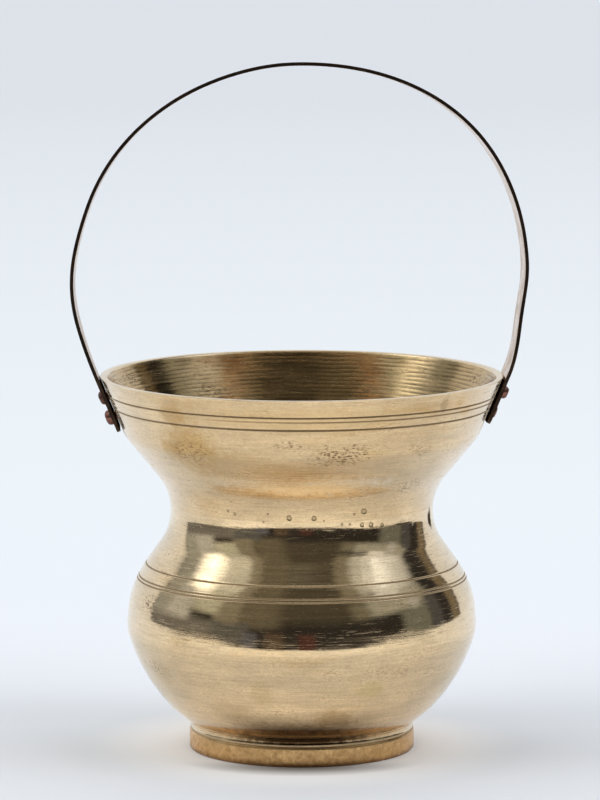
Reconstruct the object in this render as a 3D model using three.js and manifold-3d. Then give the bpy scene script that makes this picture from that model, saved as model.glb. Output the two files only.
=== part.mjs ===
// A small brass kamandal: a turned water pot with a riveted handle of flat strip.
// Millimetres, +Z up. The origin is the middle of the foot's underside, and the handle spans X.

import * as THREE from 'three';
import { mergeVertices } from 'three/addons/utils/BufferGeometryUtils.js';
import Module from 'manifold-3d';

const wasm = await Module();
wasm.setup();

const degree = Math.PI / 180;
const axisX = new THREE.Vector3(1, 0, 0);

// Mouth: a straight lip band, a rounded knee, a straight cone and the arc of the waist
const rimRadius = 57.5;
const mouthRise = 38.6; // the lip above the waist
const bandAngle = 22.5 * degree; // lean of the lip band from upright
const bandLength = 17.5; // from the lip down along the wall
const kneeArc = 7;
const coneRun = 13.8; // straight length of the cone
const lipChamfer = 0.3;
const bandLines = [5.5, 9.4]; // turned lines, from the lip down along the wall

// Waist and the lap between the two castings, whose middle is at the waist's narrowest ring
const waistRadius = 37.5;
const waistRise = 31.9; // above the belly's widest ring
const waistArc = 15.8;
const lapLength = 3.5;

// Belly: one arc above its widest ring, and three below it that bend more and less by turns
const bellyRadius = 50;
const shoulderRun = 7.8; // straight length between the belly and the waist
const bilgeArc = 18;
const bilgeTurn = 18 * degree; // how far the wall leans in where the lower arc begins
const lowerArc = 49.2;
const tuckTurn = 44.3 * degree; // and where the tuck begins
const tuckArc = 4;
const bellyLines = [16.7, 13.4, 12.5]; // turned lines, above the widest ring

// Neck between the belly and the foot
const neckArc = 1;
const neckRun = 6.8; // straight length between the neck and the tuck
const neckInset = 3.08; // the neck inside the middle of the tuck's arc
const neckRise = 0.6; // above the belly's turned edge
const edgeStep = 0.38; // the turned edge beyond the neck
const edgeHeight = 0.7;

// Walls and floor
const wall = 1.8;
const floorSlope = 6 * degree; // rise of the inside floor at its edge
const recessDepth = 3; // hollow under the floor, above the foot's top
const recessCorner = 1.5;

// Foot: a plain ring under the turned edge
const footStep = 0.58; // beyond the neck
const footHeight = 5.7;
const footWall = 2.8;
const footChamfer = 0.3;

// Turned lines
const lineWidth = 0.8;
const lineDepth = 0.35;

// Handle: a flat strip bent to an arch, its straight ends lying on the lip band
const stripWidth = 15;
const stripThickness = 1;
const handleRise = 88.9; // the arch's outside above the lip
// Where the hand-bent arch swells out of a plain round, or falls short of it, from right to left
const handBends = [
  { swell: -1.1, at: -7.7 * degree, reach: 14.8 * degree },
  { swell: 2.7, at: 42 * degree, reach: 49 * degree },
  { swell: 1.5, at: 152 * degree, reach: 50 * degree },
  { swell: 1.2, at: 181 * degree, reach: 21.5 * degree },
];
const handleLean = 4 * degree; // the arch leans back
const rightTwist = 3 * degree; // the right side of the arch turns its inner face forward
const bendReach = 20; // height over which the lean and twist come in above the lip

// Rivets: distances from the lip down along the wall
const shankRadius = 1.25;
const tailRadius = 2.1;
const tailHeight = 0.7;
const rivetFlat = 0.3; // upright edge of a hammered head
const sides = {
  left: {
    turn: Math.PI,
    end: 16.5,
    upper: { at: 6.5, radius: 2.1, height: 1.2 },
    lower: { at: 12.5, radius: 2.45, height: 2 },
  },
  right: {
    turn: 0,
    end: 13.9,
    upper: { at: 4.6, radius: 1.95, height: 1.8 },
    lower: { at: 10.9, radius: 2, height: 1 },
  },
};

// Clearances
const seatGap = 0.3; // between pieces that lie on each other at an angle
const holeGap = 0.3; // round a rivet's shank
const lapGap = 0.3; // between the two halves of the lap
const drillReach = 6; // of a rivet's hole, to both sides of the wall

// Fineness
const chordError = 0.1;
const potSides = 60;
const rivetSides = 20;
const stripSteps = 60;
const domeSteps = 3;

// A hand-finished brass, a duller foot and copper rivets
const brass = { color: 0xc9a86a, roughness: 0.25, metalness: 1 };
const dullBrass = { color: 0xa98450, roughness: 0.5, metalness: 1 };
const copper = { color: 0x8a5646, roughness: 0.4, metalness: 1 };

const at = (r, z) => new THREE.Vector2(r, z);

// Heights, built up from the foot
const edgeTop = footHeight + edgeHeight;
const neckHeight = edgeTop + neckRise;
const neckToTuck = Math.sqrt((neckArc + tuckArc) ** 2 + neckRun ** 2 - (neckInset - neckArc) ** 2);
const tuckHeight = neckHeight + neckToTuck;
const lowerHeight = tuckHeight + (lowerArc - tuckArc) * Math.sin(tuckTurn);
const bellyHeight = lowerHeight - (lowerArc - bilgeArc) * Math.sin(bilgeTurn);
const waistHeight = bellyHeight + waistRise;
const potHeight = waistHeight + mouthRise;

// Middles of the belly's lower arcs from the axis, and the radii below them
const bilgeMiddle = bellyRadius - bilgeArc;
const lowerMiddle = bilgeMiddle - (lowerArc - bilgeArc) * Math.cos(bilgeTurn);
const tuckMiddle = lowerMiddle + (lowerArc - tuckArc) * Math.cos(tuckTurn);
const neckRadius = tuckMiddle - neckInset;
const edgeRadius = neckRadius + edgeStep;
const footRadius = neckRadius + footStep;
const footInner = footRadius - footWall;

// The belly's upper arc leaves a straight run of the given length to the waist's arc
const bellyOut = bellyRadius - waistRadius;
const shoulderArcs = (bellyOut ** 2 + waistRise ** 2 - shoulderRun ** 2) / (2 * bellyOut);
const upperArc = shoulderArcs - waistArc;

// The waist's arc under the mouth leaves the cone's straight run to the knee
const kneeMiddle = at(
  rimRadius - bandLength * Math.sin(bandAngle) - kneeArc * Math.cos(bandAngle),
  potHeight - bandLength * Math.cos(bandAngle) + kneeArc * Math.sin(bandAngle));
const kneeOut = kneeMiddle.x - waistRadius;
const kneeUp = kneeMiddle.y - waistHeight;
const coneArc = (kneeOut ** 2 + kneeUp ** 2 - kneeArc ** 2 - coneRun ** 2) / (2 * (kneeOut + kneeArc));

// Lap: the mouth's tongue stands inside the belly's skirt
const seamHeight = waistHeight + lapLength / 2;
const tongueEnd = waistHeight - lapLength / 2;
const halfLap = (wall - lapGap) / 2;
const skirtRadius = waistRadius - halfLap;
const tongueRadius = skirtRadius - lapGap;

const onRound = (round, angle) =>
  at(round.centre.x + round.radius * Math.cos(angle), round.centre.y + round.radius * Math.sin(angle));

// Points along a round from one angle to another, the short way
function arcPoints(round, from, to) {
  const turn = Math.atan2(Math.sin(to - from), Math.cos(to - from));
  const step = 2 * Math.acos(1 - chordError / round.radius);
  const count = Math.max(2, Math.ceil(Math.abs(turn) / step));
  return Array.from({ length: count + 1 }, (_, i) => onRound(round, from + (turn * i) / count));
}

// Angles at which one straight line touches a lower and an upper round. The profile runs on the
// outer side of a full round and on the axis side of a hollow one.
function touch(lower, upper) {
  const line = upper.centre.clone().sub(lower.centre);
  const distance = line.length();
  line.normalize();
  const side = lower.full ? 1 : -1;
  const along = (lower.radius + upper.radius) / distance;
  const across = Math.sqrt(1 - along * along) * side;
  const normal = Math.atan2(-line.x * across + line.y * along, line.y * across + line.x * along);
  return { lower: normal, upper: normal + Math.PI };
}

// The rounds of the pot's wall at a depth below its outside
function rounds(depth) {
  return {
    neck: { centre: at(neckRadius + neckArc, neckHeight), radius: neckArc + depth },
    tuck: { centre: at(tuckMiddle, tuckHeight), radius: tuckArc - depth, full: true },
    lower: { centre: at(lowerMiddle, lowerHeight), radius: lowerArc - depth, full: true },
    bilge: { centre: at(bilgeMiddle, bellyHeight), radius: bilgeArc - depth, full: true },
    upper: { centre: at(bellyRadius - upperArc, bellyHeight), radius: upperArc - depth, full: true },
    waist: { centre: at(waistRadius + waistArc, waistHeight), radius: waistArc + depth },
    cone: { centre: at(waistRadius + coneArc, waistHeight), radius: coneArc + depth },
    knee: { centre: kneeMiddle, radius: kneeArc - depth, full: true },
  };
}

// Angle at a height on a round whose middle is level with the waist
const waistTurn = (round, height) => Math.PI - Math.asin((height - waistHeight) / round.radius);

// A V-shaped turned line cut into a run of profile points at a height
function cutLine(points, height) {
  const k = points.findIndex((p, i) => i > 0 && points[i - 1].y < height && p.y >= height);
  const [a, b] = [points[k - 1], points[k]];
  const along = b.clone().sub(a).normalize();
  const inward = at(-along.y, along.x);
  const middle = a.clone().lerp(b, (height - a.y) / (b.y - a.y));
  const side = (step) => middle.clone().addScaledVector(along, (step * lineWidth) / 2);
  const low = side(-1);
  const high = side(1);
  const before = points.slice(0, k).filter((p) => p.y < low.y);
  const after = points.slice(k).filter((p) => p.y > high.y);
  return [...before, low, middle.addScaledVector(inward, lineDepth), high, ...after];
}

// Turned solid round +Z from a profile that runs anticlockwise in (radius, height)
function turned(points, segments) {
  return new THREE.LatheGeometry(points, segments).rotateX(Math.PI / 2);
}

// Closed manifold solid of a geometry, in the place that a matrix gives
function toSolid(geometry, matrix = new THREE.Matrix4()) {
  const bare = geometry.clone().applyMatrix4(matrix);
  bare.deleteAttribute('normal');
  bare.deleteAttribute('uv');
  const merged = mergeVertices(bare, 1e-4);
  const index = merged.index.array;
  const kept = [];
  for (let i = 0; i < index.length; i += 3) {
    const [a, b, c] = [index[i], index[i + 1], index[i + 2]];
    if (a !== b && b !== c && c !== a) kept.push(a, b, c);
  }
  return new wasm.Manifold(new wasm.Mesh({
    numProp: 3,
    vertProperties: new Float32Array(merged.attributes.position.array),
    triVerts: new Uint32Array(kept),
  }));
}

function namedMesh(name, solid, finish) {
  const { vertProperties, triVerts } = solid.getMesh();
  const geometry = new THREE.BufferGeometry();
  geometry.setAttribute('position', new THREE.BufferAttribute(new Float32Array(vertProperties), 3));
  geometry.setIndex(new THREE.BufferAttribute(new Uint32Array(triVerts), 1));
  geometry.computeVertexNormals();
  const mesh = new THREE.Mesh(geometry, new THREE.MeshStandardMaterial(finish));
  mesh.name = name;
  return mesh;
}

// Place on the outer wall of the lip band, a distance down from the lip
function onBand(distance, depth = 0) {
  return at(rimRadius, potHeight)
    .addScaledVector(at(-Math.sin(bandAngle), -Math.cos(bandAngle)), distance)
    .addScaledVector(at(-Math.cos(bandAngle), Math.sin(bandAngle)), depth);
}

// Frame of a rivet: +Z out of the wall, on the side that the turn gives
function rivetFrame(side, distance) {
  const place = onBand(distance);
  const out = new THREE.Matrix4().makeRotationY(Math.PI / 2 + bandAngle);
  const move = new THREE.Matrix4().makeTranslation(place.x, 0, place.y);
  return new THREE.Matrix4().makeRotationZ(side.turn).multiply(move).multiply(out);
}

function rivetHole(side, distance) {
  const radius = shankRadius + holeGap;
  const drill = new THREE.CylinderGeometry(radius, radius, 2 * drillReach, rivetSides).rotateX(Math.PI / 2);
  return toSolid(drill, rivetFrame(side, distance));
}

function makeMouth() {
  const out = rounds(0);
  const inn = rounds(wall);
  const outTouch = touch(out.cone, out.knee);
  const innTouch = touch(inn.cone, inn.knee);
  let outside = [
    ...arcPoints(out.cone, waistTurn(out.cone, seamHeight), outTouch.lower),
    ...arcPoints(out.knee, outTouch.upper, -bandAngle),
    onBand(lipChamfer),
  ];
  for (const distance of bandLines) {
    outside = cutLine(outside, onBand(distance).y);
  }
  const lipWall = wall / Math.cos(bandAngle);
  const lip = [
    at(rimRadius - lipChamfer, potHeight),
    at(rimRadius - lipWall + lipChamfer, potHeight),
    at(rimRadius - lipWall, potHeight - lipChamfer),
  ];
  const inside = [
    ...arcPoints(inn.knee, -bandAngle, innTouch.upper),
    ...arcPoints(inn.cone, innTouch.lower, Math.PI),
    ...arcPoints(inn.waist, Math.PI, waistTurn(inn.waist, tongueEnd)).slice(1),
  ];
  const tongue = [
    at(tongueRadius, tongueEnd),
    at(tongueRadius, seamHeight),
  ];
  const profile = [...outside, ...lip, ...inside, ...tongue];
  let solid = toSolid(turned([...profile, profile[0]], potSides));
  for (const side of Object.values(sides)) {
    for (const rivet of [side.upper, side.lower]) {
      solid = solid.subtract(rivetHole(side, rivet.at));
    }
  }
  return namedMesh('mouth', solid, brass);
}

function makeBelly() {
  const out = rounds(0);
  const inn = rounds(wall);
  const neckTouch = touch(out.neck, out.tuck);
  const outTouch = touch(out.upper, out.waist);
  const innTouch = touch(inn.upper, inn.waist);
  let outside = [
    ...arcPoints(out.neck, Math.PI + Math.asin(neckRise / neckArc), neckTouch.lower),
    ...arcPoints(out.tuck, neckTouch.upper, -tuckTurn),
    ...arcPoints(out.lower, -tuckTurn, -bilgeTurn).slice(1),
    ...arcPoints(out.bilge, -bilgeTurn, 0).slice(1),
    ...arcPoints(out.upper, 0, outTouch.lower).slice(1),
    ...arcPoints(out.waist, outTouch.upper, Math.PI),
    ...arcPoints(out.cone, Math.PI, waistTurn(out.cone, seamHeight)).slice(1),
  ];
  for (const rise of bellyLines) {
    outside = cutLine(outside, bellyHeight + rise);
  }
  const skirt = [
    at(skirtRadius, seamHeight),
    at(skirtRadius, tongueEnd - lapGap),
  ];
  const floorTurn = -Math.PI / 2 + floorSlope;
  const inside = [
    ...arcPoints(inn.waist, waistTurn(inn.waist, tongueEnd - lapGap), innTouch.upper),
    ...arcPoints(inn.upper, innTouch.lower, 0),
    ...arcPoints(inn.bilge, 0, -bilgeTurn).slice(1),
    ...arcPoints(inn.lower, -bilgeTurn, -tuckTurn).slice(1),
    ...arcPoints(inn.tuck, -tuckTurn, floorTurn).slice(1),
  ];
  const floorEdge = inside[inside.length - 1];
  const floorArc = floorEdge.x / Math.sin(floorSlope);
  const floorRound = { centre: at(0, floorEdge.y + floorArc * Math.cos(floorSlope)), radius: floorArc };
  const floor = arcPoints(floorRound, floorTurn, -Math.PI / 2).slice(1);
  floor[floor.length - 1].x = 0;
  const recessTop = footHeight + recessDepth;
  const underside = [
    at(0, recessTop),
    at(footInner - recessCorner, recessTop),
    at(footInner, recessTop - recessCorner),
    at(footInner, footHeight),
    at(edgeRadius, footHeight),
    at(edgeRadius, edgeTop),
  ];
  const solid = toSolid(turned([...underside, ...outside, ...skirt, ...inside, ...floor], potSides));
  return namedMesh('belly', solid, brass);
}

function makeFootRing() {
  const profile = [
    at(footInner + footChamfer, 0),
    at(footRadius - footChamfer, 0),
    at(footRadius, footChamfer),
    at(footRadius, footHeight - footChamfer),
    at(footRadius - footChamfer, footHeight),
    at(footInner, footHeight),
    at(footInner, footChamfer),
  ];
  return namedMesh('foot_ring', toSolid(turned([...profile, profile[0]], potSides)), dullBrass);
}

// All the bends' swelling at an angle; each is full at its middle and ends level a reach away
const swelling = (angle) =>
  handBends.reduce((sum, bend) => {
    const share = Math.min(1, Math.abs(angle - bend.at) / bend.reach);
    return sum + Math.cos((share * Math.PI) / 2) ** 2 * bend.swell;
  }, 0);

// Middle line of the strip in the plane of the arch, from the right end to the left end
function stripLine() {
  const half = seatGap + stripThickness / 2;
  const rim = onBand(0, -half);
  const rise = potHeight + handleRise - stripThickness / 2 - rim.y;
  const radius = (rim.x * Math.cos(bandAngle) + rise * Math.sin(bandAngle)) / (1 + Math.sin(bandAngle));
  const centre = rim.y + rise - radius;
  const turn = Math.PI + 2 * bandAngle;
  const arch = Array.from({ length: stripSteps + 1 }, (_, i) => {
    const angle = -bandAngle + (turn * i) / stripSteps;
    const reach = radius + swelling(angle);
    return at(reach * Math.cos(angle), centre + reach * Math.sin(angle));
  });
  const right = onBand(sides.right.end, -half);
  const left = onBand(sides.left.end, -half);
  return [right, ...arch, at(-left.x, left.y)];
}

// Leans the arch back and turns its right side, and leaves the ends on the wall as they are
function leanAndTwist(geometry) {
  const places = geometry.attributes.position;
  const halfSpan = rimRadius;
  for (let i = 0; i < places.count; i += 1) {
    const [x, y, z] = [places.getX(i), places.getY(i), places.getZ(i)];
    const above = Math.max(0, z - potHeight);
    const come = THREE.MathUtils.smoothstep(above, 0, bendReach);
    const twist = rightTwist * come * THREE.MathUtils.smoothstep(x, 0, halfSpan);
    const bent = new THREE.Vector3(x - y * Math.tan(twist), y, above);
    bent.applyAxisAngle(axisX, -handleLean * come);
    places.setXYZ(i, bent.x, bent.y, z - above + bent.z);
  }
  return geometry;
}

function makeHandleStrip() {
  const line = stripLine();
  const normals = line.map((p, i) => {
    const next = line[Math.min(i + 1, line.length - 1)];
    const along = next.clone().sub(line[Math.max(i - 1, 0)]).normalize();
    return at(along.y, -along.x);
  });
  const offset = (step) => line.map((p, i) => p.clone().addScaledVector(normals[i], step));
  const outline = new THREE.Shape([...offset(stripThickness / 2), ...offset(-stripThickness / 2).reverse()]);
  const flat = new THREE.ExtrudeGeometry(outline, { depth: stripWidth, bevelEnabled: false });
  flat.translate(0, 0, -stripWidth / 2).rotateX(Math.PI / 2);
  let solid = toSolid(leanAndTwist(flat));
  for (const side of Object.values(sides)) {
    for (const rivet of [side.upper, side.lower]) {
      solid = solid.subtract(rivetHole(side, rivet.at));
    }
  }
  return namedMesh('handle_strip', solid, brass);
}

// Outline of a low dome from its edge to the axis, rising or falling by its height
function domePoints(radius, height, base) {
  return Array.from({ length: domeSteps }, (_, i) => {
    const angle = ((i + 1) * Math.PI) / 2 / domeSteps;
    return at(i === domeSteps - 1 ? 0 : radius * Math.cos(angle), base + height * Math.sin(angle));
  });
}

// A copper rivet: hammered head outside the strip, closed-over tail inside the wall
function makeRivet(name, side, size) {
  const headFoot = seatGap + stripThickness + seatGap;
  const headEdge = headFoot + rivetFlat;
  const tailTop = -wall - seatGap;
  const tailEdge = tailTop - rivetFlat;
  const profile = [
    ...domePoints(tailRadius, rivetFlat - tailHeight, tailEdge).reverse(),
    at(tailRadius, tailEdge),
    at(tailRadius, tailTop),
    at(shankRadius, tailTop),
    at(shankRadius, headFoot),
    at(size.radius, headFoot),
    at(size.radius, headEdge),
    ...domePoints(size.radius, size.height - rivetFlat, headEdge),
  ];
  return namedMesh(name, toSolid(turned(profile, rivetSides), rivetFrame(side, size.at)), copper);
}

const kamandal = new THREE.Group();
kamandal.add(makeMouth(), makeBelly(), makeFootRing(), makeHandleStrip());
for (const [sideName, side] of Object.entries(sides)) {
  for (const row of ['upper', 'lower']) {
    kamandal.add(makeRivet(`rivet_${sideName}_${row}`, side, side[row]));
  }
}

export default kamandal;
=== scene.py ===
"""A small brass kamandal: turned mouth and belly, cast foot ring, riveted handle of flat strip.

Sizes are in millimetres, as in the solids, and become metres when a mesh or a material is made. +Z is
up, and the front looks towards -Y.
"""

import math

import bpy
from mathutils import Matrix, Vector, noise


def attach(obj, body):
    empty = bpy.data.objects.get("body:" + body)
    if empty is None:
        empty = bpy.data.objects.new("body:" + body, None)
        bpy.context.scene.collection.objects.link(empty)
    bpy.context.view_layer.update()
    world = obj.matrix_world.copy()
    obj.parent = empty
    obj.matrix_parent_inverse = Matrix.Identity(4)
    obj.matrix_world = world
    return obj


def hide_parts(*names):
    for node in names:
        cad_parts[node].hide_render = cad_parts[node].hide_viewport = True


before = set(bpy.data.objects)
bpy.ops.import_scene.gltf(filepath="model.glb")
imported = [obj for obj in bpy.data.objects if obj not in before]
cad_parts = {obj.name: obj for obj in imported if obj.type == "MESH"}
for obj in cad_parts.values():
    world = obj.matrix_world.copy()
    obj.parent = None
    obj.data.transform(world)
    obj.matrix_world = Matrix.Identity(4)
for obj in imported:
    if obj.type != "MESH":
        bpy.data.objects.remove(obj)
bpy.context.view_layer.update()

MM = 0.001
DEGREE = math.pi / 180

# Mouth, waist and belly of the pot, as in the solids
RIM_RADIUS = 57.5
BAND_ANGLE = 22.5 * DEGREE
BAND_LENGTH = 17.5
KNEE_ARC = 7.0
CONE_RUN = 13.8
MOUTH_RISE = 38.6
WAIST_RADIUS = 37.5
WAIST_RISE = 31.9
WAIST_ARC = 15.8
LAP_LENGTH = 3.5
BELLY_RADIUS = 50.0
SHOULDER_RUN = 7.8
BILGE_ARC = 18.0
BILGE_TURN = 18 * DEGREE
LOWER_ARC = 49.2
TUCK_TURN = 44.3 * DEGREE
TUCK_ARC = 4.0
NECK_ARC = 1.0
NECK_RUN = 6.8
NECK_INSET = 3.08
NECK_RISE = 0.6
EDGE_STEP = 0.38
EDGE_HEIGHT = 0.7
WALL = 1.8
FLOOR_SLOPE = 6 * DEGREE
RECESS_DEPTH = 3.0
FOOT_STEP = 0.58
FOOT_HEIGHT = 5.7
FOOT_WALL = 2.8
LAP_GAP = 0.3

# Handle: the hand-bent places of the arch are (swell, angle, spread)
STRIP_WIDTH = 15.0
STRIP_THICKNESS = 1.0
HANDLE_RISE = 88.9
HAND_BENDS = (
    (-1.1, -7.7 * DEGREE, 14.8 * DEGREE), (2.7, 42 * DEGREE, 49 * DEGREE),
    (1.5, 152 * DEGREE, 50 * DEGREE), (1.2, 181 * DEGREE, 21.5 * DEGREE),
)
HANDLE_LEAN = 4 * DEGREE
LEFT_END = 16.5
RIGHT_END = 13.9
SEAT_GAP = 0.3
CLIPPED_CORNER = 1.2

# Twist of the strip's seated ends about a line near its front edge, and of the arch above the right one
RIGHT_TWIST = 3 * DEGREE
RIGHT_END_TWIST = 3.2 * DEGREE
RIGHT_PIVOT = -5.0
LEFT_END_TWIST = 2.5 * DEGREE
LEFT_PIVOT = -7.5
BEND_REACH = 14.0

# Rivets: side, distance down from the lip, radius and height of the hammered head
SHANK_RADIUS = 1.25
TAIL_RADIUS = 2.1
TAIL_HEIGHT = 0.7
HEAD_EDGE = 0.35
RIVETS = {
    "rivet_left_upper": (math.pi, 6.5, 2.0, 1.35),
    "rivet_left_lower": (math.pi, 12.5, 2.25, 1.85),
    "rivet_right_upper": (0.0, 4.6, 1.9, 1.7),
    "rivet_right_lower": (0.0, 10.9, 1.8, 0.8),
}

# Turned lines: distance down the lip band or height on the belly, depth, and where round the pot
# each is deepest
BAND_LINES = ((5.5, 0.2, None), (6.9, 0.05, 60 * DEGREE), (9.4, 0.17, None))
BELLY_LINES = ((16.7, 0.15), (13.4, 0.1), (12.55, 0.14))
# Half width of a line's groove, how far its burr and its dirt go, and how far anything of it goes
GROOVE_HALF = 0.27
BURR_REACH = 0.16
DIRT_REACH = 0.3
LINE_REACH = 0.95

# A slight lean of the belly's wall, where the lathe tool was moved on
LEAN_HEIGHT = 36.8
LEAN_SLOPE = 0.065
LEAN_REACH = 3.4

# Where the casting is thicker inside the knee of the mouth
THICK_EXTRA = 2.2
THICK_DEPTH = 16.0
THICK_REACH = 8.0

# Unevenness left by the tool outside and inside, by the shears, and by rolling
WALL_RIPPLE = 0.011
INSIDE_RIPPLE = 0.02
SHEAR_WAVER = 0.10
ROLLED_WAVER = 0.05
# Dirt all over the lap and the recess, and darkening all over the step above the foot
LAP_GRIME = 0.6
RECESS_GRIME = 0.15
STEP_DARKENING = 0.35

# Fineness of the meshes, and the open pinprick in the middle of the floor and the recess
POT_SIDES = 256
RIVET_SIDES = 28
STRIP_POINTS = 17
PROFILE_STEP = 0.6
PINPRICK = 0.05

# Heights and radii that follow
EDGE_TOP = FOOT_HEIGHT + EDGE_HEIGHT
NECK_Z = EDGE_TOP + NECK_RISE
TUCK_Z = NECK_Z + math.sqrt((NECK_ARC + TUCK_ARC) ** 2 + NECK_RUN ** 2 - (NECK_INSET - NECK_ARC) ** 2)
LOWER_Z = TUCK_Z + (LOWER_ARC - TUCK_ARC) * math.sin(TUCK_TURN)
BELLY_Z = LOWER_Z - (LOWER_ARC - BILGE_ARC) * math.sin(BILGE_TURN)
WAIST_Z = BELLY_Z + WAIST_RISE
POT_HEIGHT = WAIST_Z + MOUTH_RISE
BILGE_R = BELLY_RADIUS - BILGE_ARC
LOWER_R = BILGE_R - (LOWER_ARC - BILGE_ARC) * math.cos(BILGE_TURN)
TUCK_R = LOWER_R + (LOWER_ARC - TUCK_ARC) * math.cos(TUCK_TURN)
NECK_RADIUS = TUCK_R - NECK_INSET
FOOT_RADIUS = NECK_RADIUS + FOOT_STEP
FOOT_INNER = FOOT_RADIUS - FOOT_WALL
BELLY_OUT = BELLY_RADIUS - WAIST_RADIUS
UPPER_ARC = (BELLY_OUT ** 2 + WAIST_RISE ** 2 - SHOULDER_RUN ** 2) / (2 * BELLY_OUT) - WAIST_ARC
KNEE_R = RIM_RADIUS - BAND_LENGTH * math.sin(BAND_ANGLE) - KNEE_ARC * math.cos(BAND_ANGLE)
KNEE_Z = POT_HEIGHT - BAND_LENGTH * math.cos(BAND_ANGLE) + KNEE_ARC * math.sin(BAND_ANGLE)
KNEE_OUT = KNEE_R - WAIST_RADIUS
KNEE_UP = KNEE_Z - WAIST_Z
CONE_ARC = (KNEE_OUT ** 2 + KNEE_UP ** 2 - KNEE_ARC ** 2 - CONE_RUN ** 2) / (2 * (KNEE_OUT + KNEE_ARC))
SEAM_Z = WAIST_Z + LAP_LENGTH / 2
TONGUE_Z = WAIST_Z - LAP_LENGTH / 2
SKIRT_RADIUS = WAIST_RADIUS - (WALL - LAP_GAP) / 2
TONGUE_RADIUS = SKIRT_RADIUS - LAP_GAP
HEAD_FOOT = SEAT_GAP + STRIP_THICKNESS - 0.02
TAIL_TOP = -WALL + 0.02


# Profiles of the turned pieces


def arc(centre, radius, start, end):
    """Points along a round, the short way, about a quarter of a millimetre apart."""
    turn = math.atan2(math.sin(end - start), math.cos(end - start))
    count = max(3, math.ceil(abs(turn) * radius / 0.25))
    angles = [start + turn * i / count for i in range(count + 1)]
    return [(centre[0] + radius * math.cos(a), centre[1] + radius * math.sin(a)) for a in angles]


def touch(lower, upper, full):
    """Angles at which a straight line touches a lower and an upper round that bend opposite ways."""
    (lower_centre, lower_radius), (upper_centre, upper_radius) = lower, upper
    dx = upper_centre[0] - lower_centre[0]
    dz = upper_centre[1] - lower_centre[1]
    distance = math.hypot(dx, dz)
    dx, dz = dx / distance, dz / distance
    along = (lower_radius + upper_radius) / distance
    across = math.sqrt(1 - along * along) * (1 if full else -1)
    normal = math.atan2(-dx * across + dz * along, dz * across + dx * along)
    return normal, normal + math.pi


def rounds(depth):
    """The rounds of the pot's wall at a depth below its outside."""
    return {
        "neck": ((NECK_RADIUS + NECK_ARC, NECK_Z), NECK_ARC + depth),
        "tuck": ((TUCK_R, TUCK_Z), TUCK_ARC - depth),
        "lower": ((LOWER_R, LOWER_Z), LOWER_ARC - depth),
        "bilge": ((BILGE_R, BELLY_Z), BILGE_ARC - depth),
        "upper": ((BELLY_RADIUS - UPPER_ARC, BELLY_Z), UPPER_ARC - depth),
        "waist": ((WAIST_RADIUS + WAIST_ARC, WAIST_Z), WAIST_ARC + depth),
        "cone": ((WAIST_RADIUS + CONE_ARC, WAIST_Z), CONE_ARC + depth),
        "knee": ((KNEE_R, KNEE_Z), KNEE_ARC - depth),
    }


def waist_turn(round_, height):
    return math.pi - math.asin((height - WAIST_Z) / round_[1])


def on_band(distance, depth=0.0):
    """A place on the lip band's outside, a distance down from the lip and a depth into the wall."""
    return (
        RIM_RADIUS - distance * math.sin(BAND_ANGLE) - depth * math.cos(BAND_ANGLE),
        POT_HEIGHT - distance * math.cos(BAND_ANGLE) + depth * math.sin(BAND_ANGLE),
    )


def evenly(points, step, fine=(), fine_reach=0.9, fine_step=0.11):
    """Resamples a line of points, closer near the given places along it. Gives (r, z, along)."""
    lengths = [0.0]
    for (r0, z0), (r1, z1) in zip(points, points[1:]):
        lengths.append(lengths[-1] + math.hypot(r1 - r0, z1 - z0))
    total = lengths[-1]
    stops = []
    s = 0.0
    while s < total:
        stops.append(s)
        close = any(abs(s - f) < fine_reach or 0 < f - fine_reach - s < step for f in fine)
        s += fine_step if close else step
    stops.append(total)
    out = []
    k = 0
    for s in stops:
        while k < len(lengths) - 2 and lengths[k + 1] < s:
            k += 1
        share = (s - lengths[k]) / max(lengths[k + 1] - lengths[k], 1e-9)
        (r0, z0), (r1, z1) = points[k], points[k + 1]
        out.append((r0 + (r1 - r0) * share, z0 + (z1 - z0) * share, s))
    return out


def along_at_height(points, height):
    """Distance along a rising line of points to a height."""
    s = 0.0
    for (r0, z0), (r1, z1) in zip(points, points[1:]):
        run = math.hypot(r1 - r0, z1 - z0)
        if z0 < height <= z1:
            return s + run * (height - z0) / (z1 - z0)
        s += run
    return s


def line_depth(distance, depth):
    """Depth of a turned line at a distance from its middle: a V with a slightly raised burr."""
    if distance < GROOVE_HALF:
        return depth * (1 - distance / GROOVE_HALF) ** 0.8
    return -0.12 * depth * math.exp(-(((distance - GROOVE_HALF) / BURR_REACH) ** 2))


def turned_lines(lines, s, angle):
    """Depth cut by the turned lines at a distance along the wall and an angle, and the dirt in them."""
    cut, dirt = 0.0, 0.0
    for middle, depth, deepest in lines:
        distance = abs(s - middle)
        if distance < LINE_REACH:
            share = 1.0
            if deepest is not None:
                share = max(0.0, math.cos(angle - deepest + math.pi / 2)) ** 0.5
            cut += line_depth(distance, depth) * share
            dirt = max(dirt, share * min(1.0, max(0.0, 1.15 - distance / DIRT_REACH)))
    return cut, dirt


def flat_of_hand(height):
    """How far the hand-dressed belly stands off its round at a height: a slight lean below its widest."""
    up = height - LEAN_HEIGHT
    return -LEAN_SLOPE * up * math.exp(-((up / LEAN_REACH) ** 2))


def thicker_knee(height):
    """How much thicker the casting is inside the mouth at a height."""
    return THICK_EXTRA * math.exp(-(((POT_HEIGHT - height - THICK_DEPTH) / THICK_REACH) ** 2))


# Meshes


def outward(points, i):
    """Unit normal of a line of points, on the right of its run."""
    before, after = points[max(i - 1, 0)], points[min(i + 1, len(points) - 1)]
    dr, dz = after[0] - before[0], after[1] - before[1]
    size = math.hypot(dr, dz) or 1.0
    return dz / size, -dr / size


def tool_chatter(seed, s):
    """Level unevenness left by the tool at a distance along the wall."""
    broad = noise.noise(Vector((seed, s * 0.45, 0.0)))
    return broad + 0.5 * noise.noise(Vector((seed, s * 1.3, 4.0)))


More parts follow.
